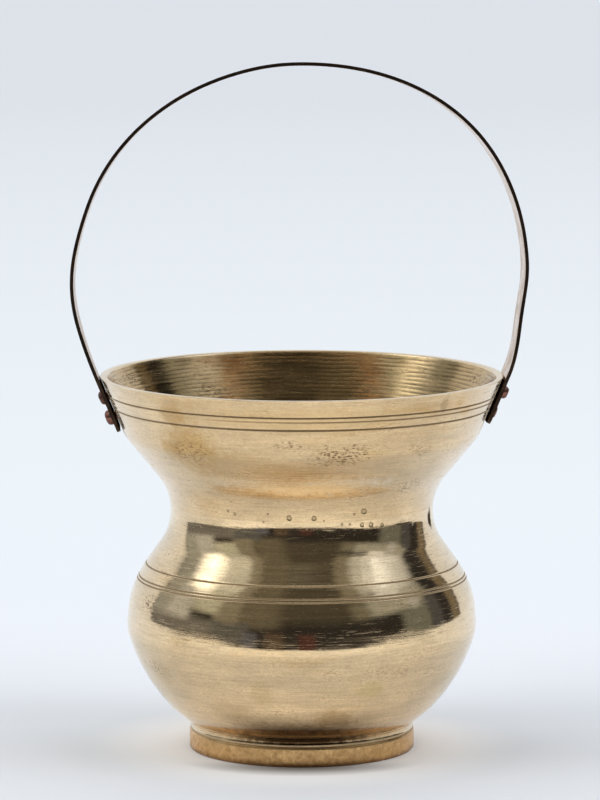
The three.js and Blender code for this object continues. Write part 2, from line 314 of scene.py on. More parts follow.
def turned_points(runs, seed):
    """Points of a turned body, their unrolled places and dirt, and each ring's material."""
    verts, unrolled, grime, slots = [], [], [], []
    for run in runs:
        points = run["points"]
        for i, (r, z, s) in enumerate(points):
            out = outward(points, i)
            ease = min(1.0, max(0.0, min(s, points[-1][2] - s) / 2.0))
            ripple = ease * run.get("ripple", 0.0)
            chatter = tool_chatter(seed, s)
            for k in range(POT_SIDES):
                angle = 2 * math.pi * k / POT_SIDES
                across, along = math.cos(angle), math.sin(angle)
                wave = noise.noise(Vector((across * 1.6, along * 1.6, s * 0.05 + seed)))
                cut, dirt = turned_lines(run.get("lines", ()), s, angle)
                push = ripple * (chatter + 2.2 * wave) - cut
                rr = max(0.0, r + out[0] * push)
                verts.append((rr * across * MM, rr * along * MM, (z + out[1] * push) * MM))
                unrolled.append((k / POT_SIDES, s * MM))
                grime.append(max(dirt, run.get("grime", 0.0)))
            slots.append(run["slot"])
    return verts, unrolled, grime, slots


def turned_piece(name, runs, seed):
    """A closed turned body. Each run has points (r, z, along), a slot, and may have lines to cut."""
    verts, unrolled, grime, ring_slots = turned_points(runs, seed)
    faces, slots = [], []
    count = len(ring_slots)
    for i in range(count):
        j = (i + 1) % count
        for k in range(POT_SIDES):
            m = (k + 1) % POT_SIDES
            faces.append((i * POT_SIDES + k, i * POT_SIDES + m, j * POT_SIDES + m, j * POT_SIDES + k))
            slots.append(ring_slots[j])
    mesh = start_mesh(name, verts, faces, slots)
    flat = []
    for loop in mesh.loops:
        flat.extend(unrolled[loop.vertex_index])
    mesh.uv_layers.new(name="turned").data.foreach_set("uv", flat)
    mesh.attributes.new("grime", "FLOAT", "POINT").data.foreach_set("value", grime)
    return finished_piece(mesh, 38 * DEGREE)


def start_mesh(name, verts, faces, slots=None):
    mesh = bpy.data.meshes.new(name)
    mesh.from_pydata(verts, [], faces)
    if slots:
        mesh.polygons.foreach_set("material_index", slots)
    mesh.polygons.foreach_set("use_smooth", [True] * len(faces))
    return mesh


def finished_piece(mesh, sharp):
    """Puts a mesh into the scene, with edges sharper than an angle kept sharp."""
    mesh.validate()
    mesh.update()
    mesh.set_sharp_from_angle(angle=sharp)
    return linked(bpy.data.objects.new(mesh.name, mesh))


def linked(obj):
    bpy.context.scene.collection.objects.link(obj)
    return obj


def stands_for(piece, node, slot, *materials):
    """Gives a piece its materials and lets it stand for a solid."""
    for material in materials:
        piece.data.materials.append(material)
    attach(piece, "root")
    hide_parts(node)
    return piece


def make_mouth(outside, lip, inside):
    """The upper casting: its wall with the lip and inside, and the tongue of the brazed lap."""
    out, inn = rounds(0.0), rounds(WALL)
    out_low, out_high = touch(out["cone"], out["knee"], False)
    inn_low, inn_high = touch(inn["cone"], inn["knee"], False)
    wall_line = (
        arc(*out["cone"], waist_turn(out["cone"], SEAM_Z), out_low)
        + arc(*out["knee"], out_high, -BAND_ANGLE)
        + [on_band(0.45)]
    )
    cuts = [(along_at_height(wall_line, on_band(d)[1]), depth, where) for d, depth, where in BAND_LINES]
    lip_wall = WALL / math.cos(BAND_ANGLE)
    lip_line = [
        on_band(0.45),
        on_band(0.16),
        (RIM_RADIUS - 0.3, POT_HEIGHT - 0.02),
        (RIM_RADIUS - 0.6, POT_HEIGHT),
        (RIM_RADIUS - lip_wall + 0.55, POT_HEIGHT),
        (RIM_RADIUS - lip_wall + 0.22, POT_HEIGHT - 0.05),
        (RIM_RADIUS - lip_wall + 0.02, POT_HEIGHT - 0.25),
        (RIM_RADIUS - lip_wall - 0.12 - thicker_knee(POT_HEIGHT - 0.6), POT_HEIGHT - 0.6),
    ]
    inner_line = (
        [(RIM_RADIUS - lip_wall - 0.12, POT_HEIGHT - 0.6)]
        + arc(*inn["knee"], -BAND_ANGLE, inn_high)
        + arc(*inn["cone"], inn_low, math.pi)
        + arc(*inn["waist"], math.pi, waist_turn(inn["waist"], TONGUE_Z))
    )
    inner_line = [(r - thicker_knee(z), z) for r, z in inner_line]
    tongue_line = [inner_line[-1], (TONGUE_RADIUS, TONGUE_Z), (TONGUE_RADIUS, SEAM_Z), wall_line[0]]
    wall_points = evenly(wall_line, PROFILE_STEP, [middle for middle, *_ in cuts])
    runs = [
        {"points": wall_points, "slot": 0, "lines": cuts, "ripple": WALL_RIPPLE},
        {"points": evenly(lip_line, 0.3), "slot": 1},
        {"points": evenly(inner_line, 0.8), "slot": 2, "ripple": INSIDE_RIPPLE},
        {"points": evenly(tongue_line, 1.2)[1:-1], "slot": 2, "grime": LAP_GRIME},
    ]
    piece = turned_piece("mouth_turned", runs, 3.0)
    return stands_for(piece, "mouth", "polished_brass", outside, lip, inside)


def belly_wall(out):
    """The belly's outside, from the neck up to the seam."""
    neck_low, neck_high = touch(out["neck"], out["tuck"], False)
    out_low, out_high = touch(out["upper"], out["waist"], True)
    neck_start = math.pi + math.asin(NECK_RISE / NECK_ARC)
    line = (
        arc(*out["neck"], neck_start, neck_low)
        + arc(*out["tuck"], neck_high, -TUCK_TURN)
        + arc(*out["lower"], -TUCK_TURN, -BILGE_TURN)[1:]
        + arc(*out["bilge"], -BILGE_TURN, 0.0)[1:]
        + arc(*out["upper"], 0.0, out_low)[1:]
        + arc(*out["waist"], out_high, math.pi)
        + arc(*out["cone"], math.pi, waist_turn(out["cone"], SEAM_Z))[1:]
    )
    return [(r + flat_of_hand(z), z) for r, z in line]


def belly_inside(inn):
    """The belly's inside, from below the lap down to the edge of the floor."""
    inn_low, inn_high = touch(inn["upper"], inn["waist"], True)
    return (
        arc(*inn["waist"], waist_turn(inn["waist"], TONGUE_Z - LAP_GAP), inn_high)
        + arc(*inn["upper"], inn_low, 0.0)
        + arc(*inn["bilge"], 0.0, -BILGE_TURN)[1:]
        + arc(*inn["lower"], -BILGE_TURN, -TUCK_TURN)[1:]
        + arc(*inn["tuck"], -TUCK_TURN, -math.pi / 2 + FLOOR_SLOPE)[1:]
    )


def floor_from(edge):
    """The dished floor, from its edge to a pinprick at the middle."""
    radius = edge[0] / math.sin(FLOOR_SLOPE)
    centre = (0.0, edge[1] + radius * math.cos(FLOOR_SLOPE))
    return arc(centre, radius, -math.pi / 2 + FLOOR_SLOPE, -math.pi / 2 + PINPRICK / radius)


def make_belly(outside, edge, inside, underside):
    """The lower casting: recess, step over the foot ring, wall, skirt of the lap, inside and floor."""
    wall_line = belly_wall(rounds(0.0))
    cuts = [(along_at_height(wall_line, BELLY_Z + rise), depth, None) for rise, depth in BELLY_LINES]
    skirt_line = [wall_line[-1], (SKIRT_RADIUS, SEAM_Z), (SKIRT_RADIUS, TONGUE_Z - LAP_GAP)]
    inner_line = belly_inside(rounds(WALL))
    floor_line = floor_from(inner_line[-1])
    recess_top = FOOT_HEIGHT + RECESS_DEPTH
    under_line = [
        (PINPRICK, recess_top),
        (FOOT_INNER - 1.5, recess_top),
        (FOOT_INNER - 0.6, recess_top - 0.5),
        (FOOT_INNER, recess_top - 1.5),
        (FOOT_INNER, FOOT_HEIGHT),
    ]
    edge_line = [
        (FOOT_INNER, FOOT_HEIGHT),
        (NECK_RADIUS + EDGE_STEP - 0.15, FOOT_HEIGHT),
        (NECK_RADIUS + EDGE_STEP, FOOT_HEIGHT + 0.15),
        (NECK_RADIUS + EDGE_STEP, EDGE_TOP - 0.15),
        (NECK_RADIUS + EDGE_STEP - 0.1, EDGE_TOP),
        wall_line[0],
    ]
    wall_points = evenly(wall_line, PROFILE_STEP, [middle for middle, *_ in cuts])
    runs = [
        {"points": evenly(under_line, 1.6), "slot": 3, "ripple": INSIDE_RIPPLE, "grime": RECESS_GRIME},
        {"points": evenly(edge_line, 0.35)[1:-1], "slot": 1, "grime": STEP_DARKENING},
        {"points": wall_points, "slot": 0, "lines": cuts, "ripple": WALL_RIPPLE},
        {"points": evenly(skirt_line, 1.2)[1:-1], "slot": 2, "grime": LAP_GRIME},
        {"points": evenly(inner_line, 1.0), "slot": 2, "ripple": INSIDE_RIPPLE},
        {"points": evenly(floor_line, 1.6)[1:], "slot": 2, "ripple": INSIDE_RIPPLE},
    ]
    piece = turned_piece("belly_turned", runs, 11.0)
    return stands_for(piece, "belly", "polished_brass", outside, edge, inside, underside)


def make_foot_ring(cast):
    """The plain ring, with softened edges and a slightly full outside."""
    top = FOOT_HEIGHT
    line = [
        (FOOT_INNER, 0.5), (FOOT_INNER + 0.15, 0.15), (FOOT_INNER + 0.5, 0.0),
        (FOOT_RADIUS - 0.5, 0.0), (FOOT_RADIUS - 0.15, 0.15), (FOOT_RADIUS, 0.5),
        (FOOT_RADIUS + 0.03, 2.8), (FOOT_RADIUS, top - 0.35), (FOOT_RADIUS - 0.1, top - 0.1),
        (FOOT_RADIUS - 0.35, top), (FOOT_INNER, top), (FOOT_INNER, 0.35),
    ]
    runs = [{"points": evenly(line, 0.45)[:-1], "slot": 0}]
    piece = turned_piece("foot_ring_cast", runs, 23.0)
    return stands_for(piece, "foot_ring", "dull_brass", cast)


def arch_line():
    """Middle line of the strip in the arch's plane, from the right end to the left end."""
    half = SEAT_GAP + STRIP_THICKNESS / 2
    rim = on_band(0.0, -half)
    rise = POT_HEIGHT + HANDLE_RISE - STRIP_THICKNESS / 2 - rim[1]
    radius = (rim[0] * math.cos(BAND_ANGLE) + rise * math.sin(BAND_ANGLE)) / (1 + math.sin(BAND_ANGLE))
    middle = rim[1] + rise - radius
    points = []
    for angle in (-BAND_ANGLE + (math.pi + 2 * BAND_ANGLE) * i / 180 for i in range(181)):
        reach = radius
        for swell, where, spread in HAND_BENDS:
            share = min(1.0, abs(angle - where) / spread)
            reach += math.cos(share * math.pi / 2) ** 2 * swell
        points.append((reach * math.cos(angle), middle + reach * math.sin(angle)))
    right = [on_band(RIGHT_END * (1 - i / 14), -half) for i in range(14)]
    left = [on_band(LEFT_END * (i + 1) / 16, -half) for i in range(16)]
    return right + points + [(-r, z) for r, z in left]


def ease_in(share):
    share = min(1.0, share)
    return share * share * (3 - 2 * share)


def lean_and_twist(x, y, z):
    """Leans the arch back and turns its sides and ends a little about the upright."""
    above = max(0.0, z - POT_HEIGHT)
    come = ease_in(above / BEND_REACH)
    side = ease_in(abs(x) / RIM_RADIUS)
    twist, pivot = (RIGHT_END_TWIST, RIGHT_PIVOT) if x > 0 else (LEFT_END_TWIST, LEFT_PIVOT)
    x -= (y - pivot) * math.tan(twist * (1 - come) * side)
    if x > 0:
        x -= y * math.tan(RIGHT_TWIST * come * side)
    turn = -HANDLE_LEAN * come
    back = y * math.cos(turn) - above * math.sin(turn)
    up = y * math.sin(turn) + above * math.cos(turn)
    return x, back, z - above + up


def strip_section(x, z, out, s, from_end):
    """Points round the strip at one place: over its outer side and back along its inner side."""
    half_w = STRIP_WIDTH / 2
    if from_end < CLIPPED_CORNER:
        reach = max(0.0, CLIPPED_CORNER ** 2 - (CLIPPED_CORNER - from_end) ** 2)
        half_w -= CLIPPED_CORNER - math.sqrt(reach)
    section = []
    for side in (1, -1):
        for k in range(STRIP_POINTS):
            share = side * (-1 + 2 * k / (STRIP_POINTS - 1))
            edge = abs(share)
            shear = 0.0
            if edge > 0.99:
                shear = SHEAR_WAVER * noise.noise(Vector((s * 0.22, share * 3, 1.0)))
            y = share * (half_w + shear * 0.8)
            half_t = STRIP_THICKNESS / 2
            if edge > 0.99:
                half_t *= 0.93
            elif edge > 0.86:
                y = math.copysign(half_w - 0.05 + shear, share)
            dish = ROLLED_WAVER * noise.noise(Vector((s * 0.05, share, 7.0)))
            offset = side * half_t + dish * min(1.0, from_end / 6)
            place = lean_and_twist(x + out[0] * offset, y, z + out[1] * offset)
            section.append(tuple(value * MM for value in place))
    return section


def strip_faces(line, lengths):
    """Faces round the strip and over its ends: broad sides 0, sheared edges 1, painted shade behind its
    seated ends 2.
    """
    faces, slots = [], []
    ring = STRIP_POINTS * 2
    for i in range(len(line) - 1):
        end = LEFT_END if line[i][0] < 0 else RIGHT_END
        seated = min(lengths[i], lengths[-1] - lengths[i]) < end - 1.0
        for k in range(ring):
            m = (k + 1) % ring
            faces.append((i * ring + k, (i + 1) * ring + k, (i + 1) * ring + m, i * ring + m))
            sheared = k % STRIP_POINTS in (0, STRIP_POINTS - 2, STRIP_POINTS - 1)
            # Slot 2 is painted shade on the inner side of the seated ends, in the gap against the wall
            slots.append(1 if sheared else 2 if seated and k >= STRIP_POINTS else 0)
    for i, flip in ((0, False), (len(line) - 1, True)):
        for k in range(STRIP_POINTS - 1):
            quad = tuple(i * ring + n for n in (k, k + 1, ring - 2 - k, ring - 1 - k))
            faces.append(quad[::-1] if flip else quad)
            slots.append(1)
    return faces, slots


def make_handle_strip(faces_metal, edges_metal, dirt):
    """A bent strip with sheared edges, clipped corners, and painted shade behind its seated ends."""
    line = arch_line()
    lengths = [0.0]
    for a, b in zip(line, line[1:]):
        lengths.append(lengths[-1] + math.hypot(b[0] - a[0], b[1] - a[1]))
    verts = []
    for i, (x, z) in enumerate(line):
        from_end = min(lengths[i], lengths[-1] - lengths[i])
        verts += strip_section(x, z, outward(line, i), lengths[i], from_end)
    mesh = start_mesh("handle_strip_bent", verts, *strip_faces(line, lengths))
    piece = finished_piece(mesh, 30 * DEGREE)
    return stands_for(piece, "handle_strip", "strip_brass", faces_metal, edges_metal, dirt)


def rivet_profile(radius, height):
    """Half section of a rivet, from the middle of its closed-over tail to the top of its head."""
    top = SEAT_GAP * 2 + STRIP_THICKNESS + height
    shoulder = HEAD_FOOT + HEAD_EDGE
    profile = [(0.0, TAIL_TOP - TAIL_HEIGHT)]
    for share in (0.35, 0.65, 0.88, 0.97):
        profile.append((TAIL_RADIUS * share, TAIL_TOP - TAIL_HEIGHT * (1 - share ** 3) ** 0.5))
    profile += [(TAIL_RADIUS, TAIL_TOP), (SHANK_RADIUS, TAIL_TOP), (SHANK_RADIUS, HEAD_FOOT)]
    profile += [(radius, HEAD_FOOT), (radius, HEAD_FOOT + 0.18), (radius * 0.99, shoulder)]
    for share in (0.98, 0.94, 0.86, 0.7, 0.45, 0.2):
        profile.append((radius * share, shoulder + (top - shoulder) * (1 - share ** 5) ** 0.5))
    return profile + [(0.0, top)]


def hammered(place, seed, height):
    """Moves a point of a rivet's head or tail to the uneven flats that the hammer left."""
    dent = noise.noise(place * 0.75 + Vector((seed, 0, 0)))
    dent += 0.5 * noise.noise(place * 1.7 + Vector((0, seed, 0)))
    place.x *= 1 + 0.10 * dent
    place.y *= 1 + 0.10 * noise.noise(place * 0.6 + Vector((0, 0, seed)))
    place.z -= abs(dent) * 0.16 * min(1.0, height)


def make_rivet(node, turn, distance, radius, height, metal, seed):
    """A rivet with a head hammered to uneven flats and a closed-over tail inside."""
    profile = rivet_profile(radius, height)
    sides = RIVET_SIDES
    verts, faces = [], []
    for r, z in profile[1:-1]:
        for k in range(sides):
            angle = 2 * math.pi * k / sides
            place = Vector((r * math.cos(angle), r * math.sin(angle), z))
            if z > HEAD_FOOT + 0.1 or z < TAIL_TOP - 0.05:
                hammered(place, seed, height)
            verts.append(place)
    low, high = len(verts), len(verts) + 1
    verts += [Vector((0, 0, profile[0][1] + 0.03)), Vector((0, 0, profile[-1][1] - 0.12))]
    last = (len(profile) - 3) * sides
    for start in range(0, last, sides):
        for k in range(sides):
            m = (k + 1) % sides
            faces.append((start + k, start + m, start + sides + m, start + sides + k))
    for k in range(sides):
        m = (k + 1) % sides
        faces.append((low, m, k))
        faces.append((high, last + k, last + m))
    place = on_band(distance)
    matrix = (
        Matrix.Rotation(turn, 4, "Z")
        @ Matrix.Translation((place[0], 0.0, place[1]))
        @ Matrix.Rotation(math.pi / 2 + BAND_ANGLE, 4, "Y")
    )
    mesh = start_mesh(node + "_hammered", [(matrix @ v) * MM for v in verts], faces)
    return stands_for(finished_piece(mesh, 40 * DEGREE), node, "copper_rivet", metal)


# Shader nodes


def put(tree, kind, inputs=None, **settings):
    """Adds a node, and sets or links its inputs."""
    made = tree.nodes.new(kind)
    for name, value in settings.items():
        setattr(made, name, value)
    for key, value in (inputs or {}).items():
        socket = made.inputs[key]
        if isinstance(value, bpy.types.NodeSocket):
            tree.links.new(value, socket)
        else:
            socket.default_value = value
    return made


def reckon(tree, operation, *values):
    """One step of arithmetic."""
    return put(tree, "ShaderNodeMath", dict(enumerate(values)), operation=operation).outputs[0]


def times(tree, a, b):
    return reckon(tree, "MULTIPLY", a, b)


def plus(tree, a, b):
    return reckon(tree, "ADD", a, b)


def minus(tree, a, b):
    return reckon(tree, "SUBTRACT", a, b)


def vector_step(tree, operation, *values):
    """One step of vector arithmetic. A scaling takes its factor second."""
    inputs = dict(enumerate(values))
    if operation == "SCALE":
        inputs = {0: values[0], "Scale": values[1]}
    made = put(tree, "ShaderNodeVectorMath", inputs, operation=operation)
    return made.outputs["Value" if operation in ("LENGTH", "DISTANCE", "DOT_PRODUCT") else "Vector"]


def split(tree, vector):
    return put(tree, "ShaderNodeSeparateXYZ", {0: vector}).outputs


def join(tree, x, y, z):
    return put(tree, "ShaderNodeCombineXYZ", {0: x, 1: y, 2: z}).outputs[0]


def ramp(tree, value, low, high, to_low=0.0, to_high=1.0, smooth=True):
    kind = "SMOOTHSTEP" if smooth else "LINEAR"
    inputs = {0: value, 1: low, 2: high, 3: to_low, 4: to_high}
    return put(tree, "ShaderNodeMapRange", inputs, interpolation_type=kind).outputs[0]


def blend_colours(tree, share, a, b, kind="MIX"):
    inputs = {0: share, 6: a, 7: b}
    return put(tree, "ShaderNodeMix", inputs, data_type="RGBA", blend_type=kind).outputs[2]


def shade_by(tree, colour, amount):
    return blend_colours(tree, 1.0, colour, join(tree, amount, amount, amount), "MULTIPLY")


def noise_at(tree, vector, scale, detail=2.0, rough=0.5, distortion=0.0):
    inputs = {"Vector": vector, "Scale": scale, "Detail": detail, "Roughness": rough}
    inputs["Distortion"] = distortion
    return put(tree, "ShaderNodeTexNoise", inputs).outputs["Fac"]


# Stands for a vector among the usual values of a shader group's inputs
VECTOR = "vector"


def start_group(name, inputs, outputs, kind="NodeSocketFloat"):
    """An empty shader group. Inputs are given with their usual values."""
    group = bpy.data.node_groups.new(name, "ShaderNodeTree")
    for label, value in inputs.items():
        socket_kind = "NodeSocketVector" if value is VECTOR else "NodeSocketFloat"
        socket = group.interface.new_socket(label, in_out="INPUT", socket_type=socket_kind)
        if value is not VECTOR:
            socket.default_value = value
    for label in outputs:
        group.interface.new_socket(label, in_out="OUTPUT", socket_type=kind)
    return group, group.nodes.new("NodeGroupInput").outputs, group.nodes.new("NodeGroupOutput").inputs


def place_group(tree, group, **values):
    """Puts a group into a material with its own values."""
    made = put(tree, "ShaderNodeGroup", node_tree=group)
    for name, value in values.items():
        socket = made.inputs[name.replace("_", " ")]
        if isinstance(value, bpy.types.NodeSocket):
            tree.links.new(value, socket)
        else:
            socket.default_value = value
    return made.outputs


def turning_marks_group():
    """Level lines left by the lathe tool, which come and go round the pot, and broader bands."""
    inputs = {"Position": VECTOR, "Along": 0.0, "Lines per metre": 1400.0, "Break up": 1.5}
    group, into, out = start_group("turning_marks", inputs, ["Marks", "Bands"])
    flat = vector_step(group, "MULTIPLY", into["Position"], (1.0, 1.0, 0.0))
    around = vector_step(group, "NORMALIZE", flat)
    x, y, _ = split(group, vector_step(group, "SCALE", around, into["Break up"]))
    fine = times(group, into["Along"], into["Lines per metre"])
    coarse = times(group, fine, 0.17)
    group.links.new(noise_at(group, join(group, x, y, fine), 1.0, 3.0, 0.65), out["Marks"])
    group.links.new(noise_at(group, join(group, x, y, coarse), 1.0, 2.0, 0.5), out["Bands"])
    return group


def tool_rings_group():
    """Even rings left by a coarse feed of the lathe tool, a little uneven in pitch and depth."""
    inputs = {"Position": VECTOR, "Along": 0.0, "Pitch": 0.00125}
    group, into, out = start_group("tool_rings", inputs, ["Rings"])
    drift = noise_at(group, into["Position"], 60.0, 2.0, 0.5)
    turns = plus(group, reckon(group, "DIVIDE", into["Along"], into["Pitch"]), times(group, drift, 0.8))
    wave = reckon(group, "SINE", times(group, turns, 2 * math.pi))
    wave = reckon(group, "MULTIPLY_ADD", wave, 0.5, 0.5)
    fade = ramp(group, noise_at(group, into["Position"], 110.0, 3.0, 0.6), 0.3, 0.6, 0.35, 1.0)
    group.links.new(times(group, wave, fade), out["Rings"])
    return group


def wandering_lines_group():
    """Leans the surface a little to the left or right from one tool line to the next."""
    inputs = {"Position": VECTOR, "Along": 0.0, "Amount": 0.02}
    group, into, out = start_group("wandering_lines", inputs, ["Normal"], "NodeSocketVector")
    normal = group.nodes.new("ShaderNodeNewGeometry").outputs["Normal"]
    level = vector_step(group, "CROSS_PRODUCT", normal, (0.0, 0.0, 1.0))
    level = vector_step(group, "NORMALIZE", level)
    line = join(group, 3.3, 7.1, times(group, into["Along"], 1150.0))
    line = vector_step(group, "ADD", line, vector_step(group, "SCALE", into["Position"], 45.0))
    lean = minus(group, noise_at(group, line, 1.0, 2.0, 0.6), 0.5)
    push = vector_step(group, "SCALE", level, times(group, lean, into["Amount"]))
    leaned = vector_step(group, "NORMALIZE", vector_step(group, "ADD", normal, push))
    group.links.new(leaned, out["Normal"])
    return group


def tarnish_group():
    """Soft warm stains drawn out along the turning."""
    inputs = {"Position": VECTOR, "Marks": 0.0, "Amount": 0.5}
    group, into, out = start_group("tarnish", inputs, ["Stains", "Cloud"])
    long = vector_step(group, "MULTIPLY", into["Position"], (1.0, 1.0, 2.2))
    wide = noise_at(group, long, 24.0, 4.0, 0.6, 0.8)
    drawn = reckon(group, "MULTIPLY_ADD", into["Marks"], 0.3, wide)
    low = minus(group, 0.95, times(group, into["Amount"], 0.5))
    group.links.new(ramp(group, drawn, low, plus(group, low, 0.28)), out["Stains"])
    group.links.new(noise_at(group, long, 95.0, 4.0, 0.65), out["Cloud"])
    return group


def oval_place_group():
    """One ragged oval place on the wall: 1 in its middle, fading out over its edge."""
    inputs = {"Position": VECTOR, "Centre": VECTOR, "Half width": 0.005, "Half height": 0.003, "Ragged": 0.5}
    group, into, out = start_group("oval_place", inputs, ["Share"])
    x, y, z = split(group, vector_step(group, "SUBTRACT", into["Position"], into["Centre"]))
    across = vector_step(group, "LENGTH", join(group, x, y, 0.0))
    across = reckon(group, "DIVIDE", across, into["Half width"])
    upright = reckon(group, "DIVIDE", z, into["Half height"])
    reach = plus(group, times(group, across, across), times(group, upright, upright))
    rag = minus(group, noise_at(group, into["Position"], 420.0, 4.0, 0.7), 0.5)
    rag = times(group, rag, times(group, into["Ragged"], 4.0))
    reach = plus(group, reckon(group, "SQRT", reach), rag)
    group.links.new(ramp(group, reach, 0.45, 1.15, 1.0, 0.0), out["Share"])
    return group


def pinhole_group():
    """One casting pinhole: a dark ragged ring with a paler middle."""
    inputs = {"Position": VECTOR, "Centre": VECTOR, "Radius": 0.0007}
    group, into, out = start_group("pinhole", inputs, ["Hole", "Rim"])
    wobble = noise_at(group, into["Position"], 800.0, 2.0, 0.6)
    away = vector_step(group, "DISTANCE", into["Position"], into["Centre"])
    share = reckon(group, "DIVIDE", away, into["Radius"])
    share = plus(group, share, reckon(group, "MULTIPLY_ADD", wobble, 0.9, -0.45))
    rim = times(group, ramp(group, share, 0.4, 0.8), ramp(group, share, 0.8, 1.2, 1.0, 0.0))
    group.links.new(ramp(group, share, 0.75, 1.1, 1.0, 0.0), out["Hole"])
    group.links.new(rim, out["Rim"])
    return group


def edge_wear_group():
    """Bare bright metal where an edge is rubbed, from the difference between bevelled and true faces."""
    group, into, out = start_group("edge_wear", {"Reach": 0.0006, "Position": VECTOR}, ["Wear"])
    round_off = put(group, "ShaderNodeBevel", {"Radius": into["Reach"]}, samples=4)
    true = group.nodes.new("ShaderNodeNewGeometry").outputs["True Normal"]
    turn = minus(group, 1.0, vector_step(group, "DOT_PRODUCT", round_off.outputs[0], true))
    patchy = ramp(group, noise_at(group, into["Position"], 700.0, 3.0, 0.6), 0.35, 0.6)
    group.links.new(times(group, ramp(group, turn, 0.02, 0.2), patchy), out["Wear"])
    return group


TURNING = turning_marks_group()
RINGS = tool_rings_group()
WANDERING = wandering_lines_group()
TARNISH = tarnish_group()
OVAL_PLACE = oval_place_group()
PINHOLE = pinhole_group()
EDGE_WEAR = edge_wear_group()


def on_wall(bearing, radius, height):
    """A place in metres: bearing in degrees to the right of the front, radius and height in mm."""
    angle = bearing * DEGREE
    return (radius * math.sin(angle) * MM, -radius * math.cos(angle) * MM, height * MM)


def waist_radius(height):
    return WAIST_RADIUS + (height - WAIST_Z) ** 2 / (2 * WAIST_ARC)


# Colours of the metals and of the dirt on them, with painted sheen and painted shade among them
PALE = (0.93, 0.69, 0.405, 1.0)
WARM = (0.81, 0.545, 0.26, 1.0)
MOUTH_PALE = (0.87, 0.63, 0.355, 1.0)
MOUTH_WARM = (0.73, 0.465, 0.20, 1.0)
INNER = (0.60, 0.41, 0.20, 1.0)
INNER_WARM = (0.36, 0.21, 0.09, 1.0)
# Painted sheen at glancing angles: the colour turns towards these there, paler outside and darker inside
GLANCING_PAINT = (0.92, 0.81, 0.64, 1.0)
INNER_GLANCING_PAINT = (0.50, 0.36, 0.18, 1.0)
UNDER_PALE = (0.55, 0.38, 0.18, 1.0)
UNDER_WARM = (0.33, 0.2, 0.09, 1.0)
CAST_PALE = (0.75, 0.475, 0.215, 1.0)
CAST_WARM = (0.62, 0.37, 0.15, 1.0)
STRIP_PALE = (0.80, 0.64, 0.52, 1.0)
STRIP_WARM = (0.68, 0.50, 0.37, 1.0)
SHEARED_PALE = (0.10, 0.062, 0.038, 1.0)
SHEARED_DARK = (0.05, 0.034, 0.024, 1.0)
COPPER_RED = (0.27, 0.125, 0.09, 1.0)
COPPER_DARK = (0.12, 0.062, 0.047, 1.0)
RUBBED_COPPER = (0.75, 0.5, 0.4, 1.0)
DASH = (0.17, 0.085, 0.035, 1.0)
HOLLOW = (0.36, 0.27, 0.12, 1.0)
HOLE_RIM = (0.13, 0.10, 0.045, 1.0)
# Painted shade: black for the dark inside the open slits
SLIT_SHADE_PAINT = (0.02, 0.014, 0.008, 1.0)
CAST_STAIN = (0.40, 0.24, 0.10, 1.0)
CAST_FOOT = (0.20, 0.09, 0.04, 1.0)
# Dirt in the lines and on the lap, recess and step, and painted shade beside the strip's left end
DIRT_AND_PAINTED_SHADE = (0.07, 0.036, 0.013, 1.0)
# Painted shade in the gap between the strip's seated ends and the wall
SEAT_SHADE_PALE = (0.075, 0.045, 0.025, 1.0)
SEAT_SHADE_DARK = (0.03, 0.018, 0.011, 1.0)

# Pinholes along the brazed lap: bearing in degrees, height and radius in mm
PINHOLES = (
    (-32.9, 73.2, 0.35), (-29.6, 72.5, 0.45), (-30.4, 76.1, 0.25), (-14.4, 73.1, 0.3), (-16.5, 70.7, 0.3),
    (-5.4, 72.1, 0.75), (5.2, 72.0, 0.7), (9.5, 71.2, 0.25), (17.4, 70.1, 0.4), (21.0, 70.0, 0.35),
    (22.8, 72.8, 0.35), (27.2, 73.4, 0.85), (26.7, 69.6, 0.65), (31.1, 69.4, 0.7), (36.9, 69.0, 0.6),
    (56.7, 67.8, 0.55), (98, 70.9, 0.7), (131, 72.4, 0.5), (150, 70.2, 0.8), (-176, 71.6, 0.45),
    (-143, 72.7, 0.7), (-118, 70.6, 0.4), (-97, 71.8, 0.6),
)
# Slits where the braze didn't run in: bearing, radius, height, half width and half height in mm
SLITS = (
    (48.7, 37.5, 68.5, 5.2, 0.28), (74.7, 37.6, 67.6, 1.9, 3.2),
    (-128, 37.5, 69.6, 3.0, 0.3), (118, 37.5, 69.9, 2.0, 0.35),
)
# Dull places beside the strip's ends: bearing, radius, height, half width, half height, roughness, and
# strength of painted shade, which on the left stands for the strip's dark shadow and reflection on the wall
MOUTH_DULL_AND_SHADE = (
    (84, 54.0, 100.0, 7.0, 13.0, 0.45, 0.0), (96, 54.0, 100.0, 7.0, 13.0, 0.45, 0.0),
    (-83, 53.6, 98.5, 5.5, 12.0, 0.3, 0.95), (-91, 53.6, 98.5, 9.0, 12.0, 0.3, 0.95),
)
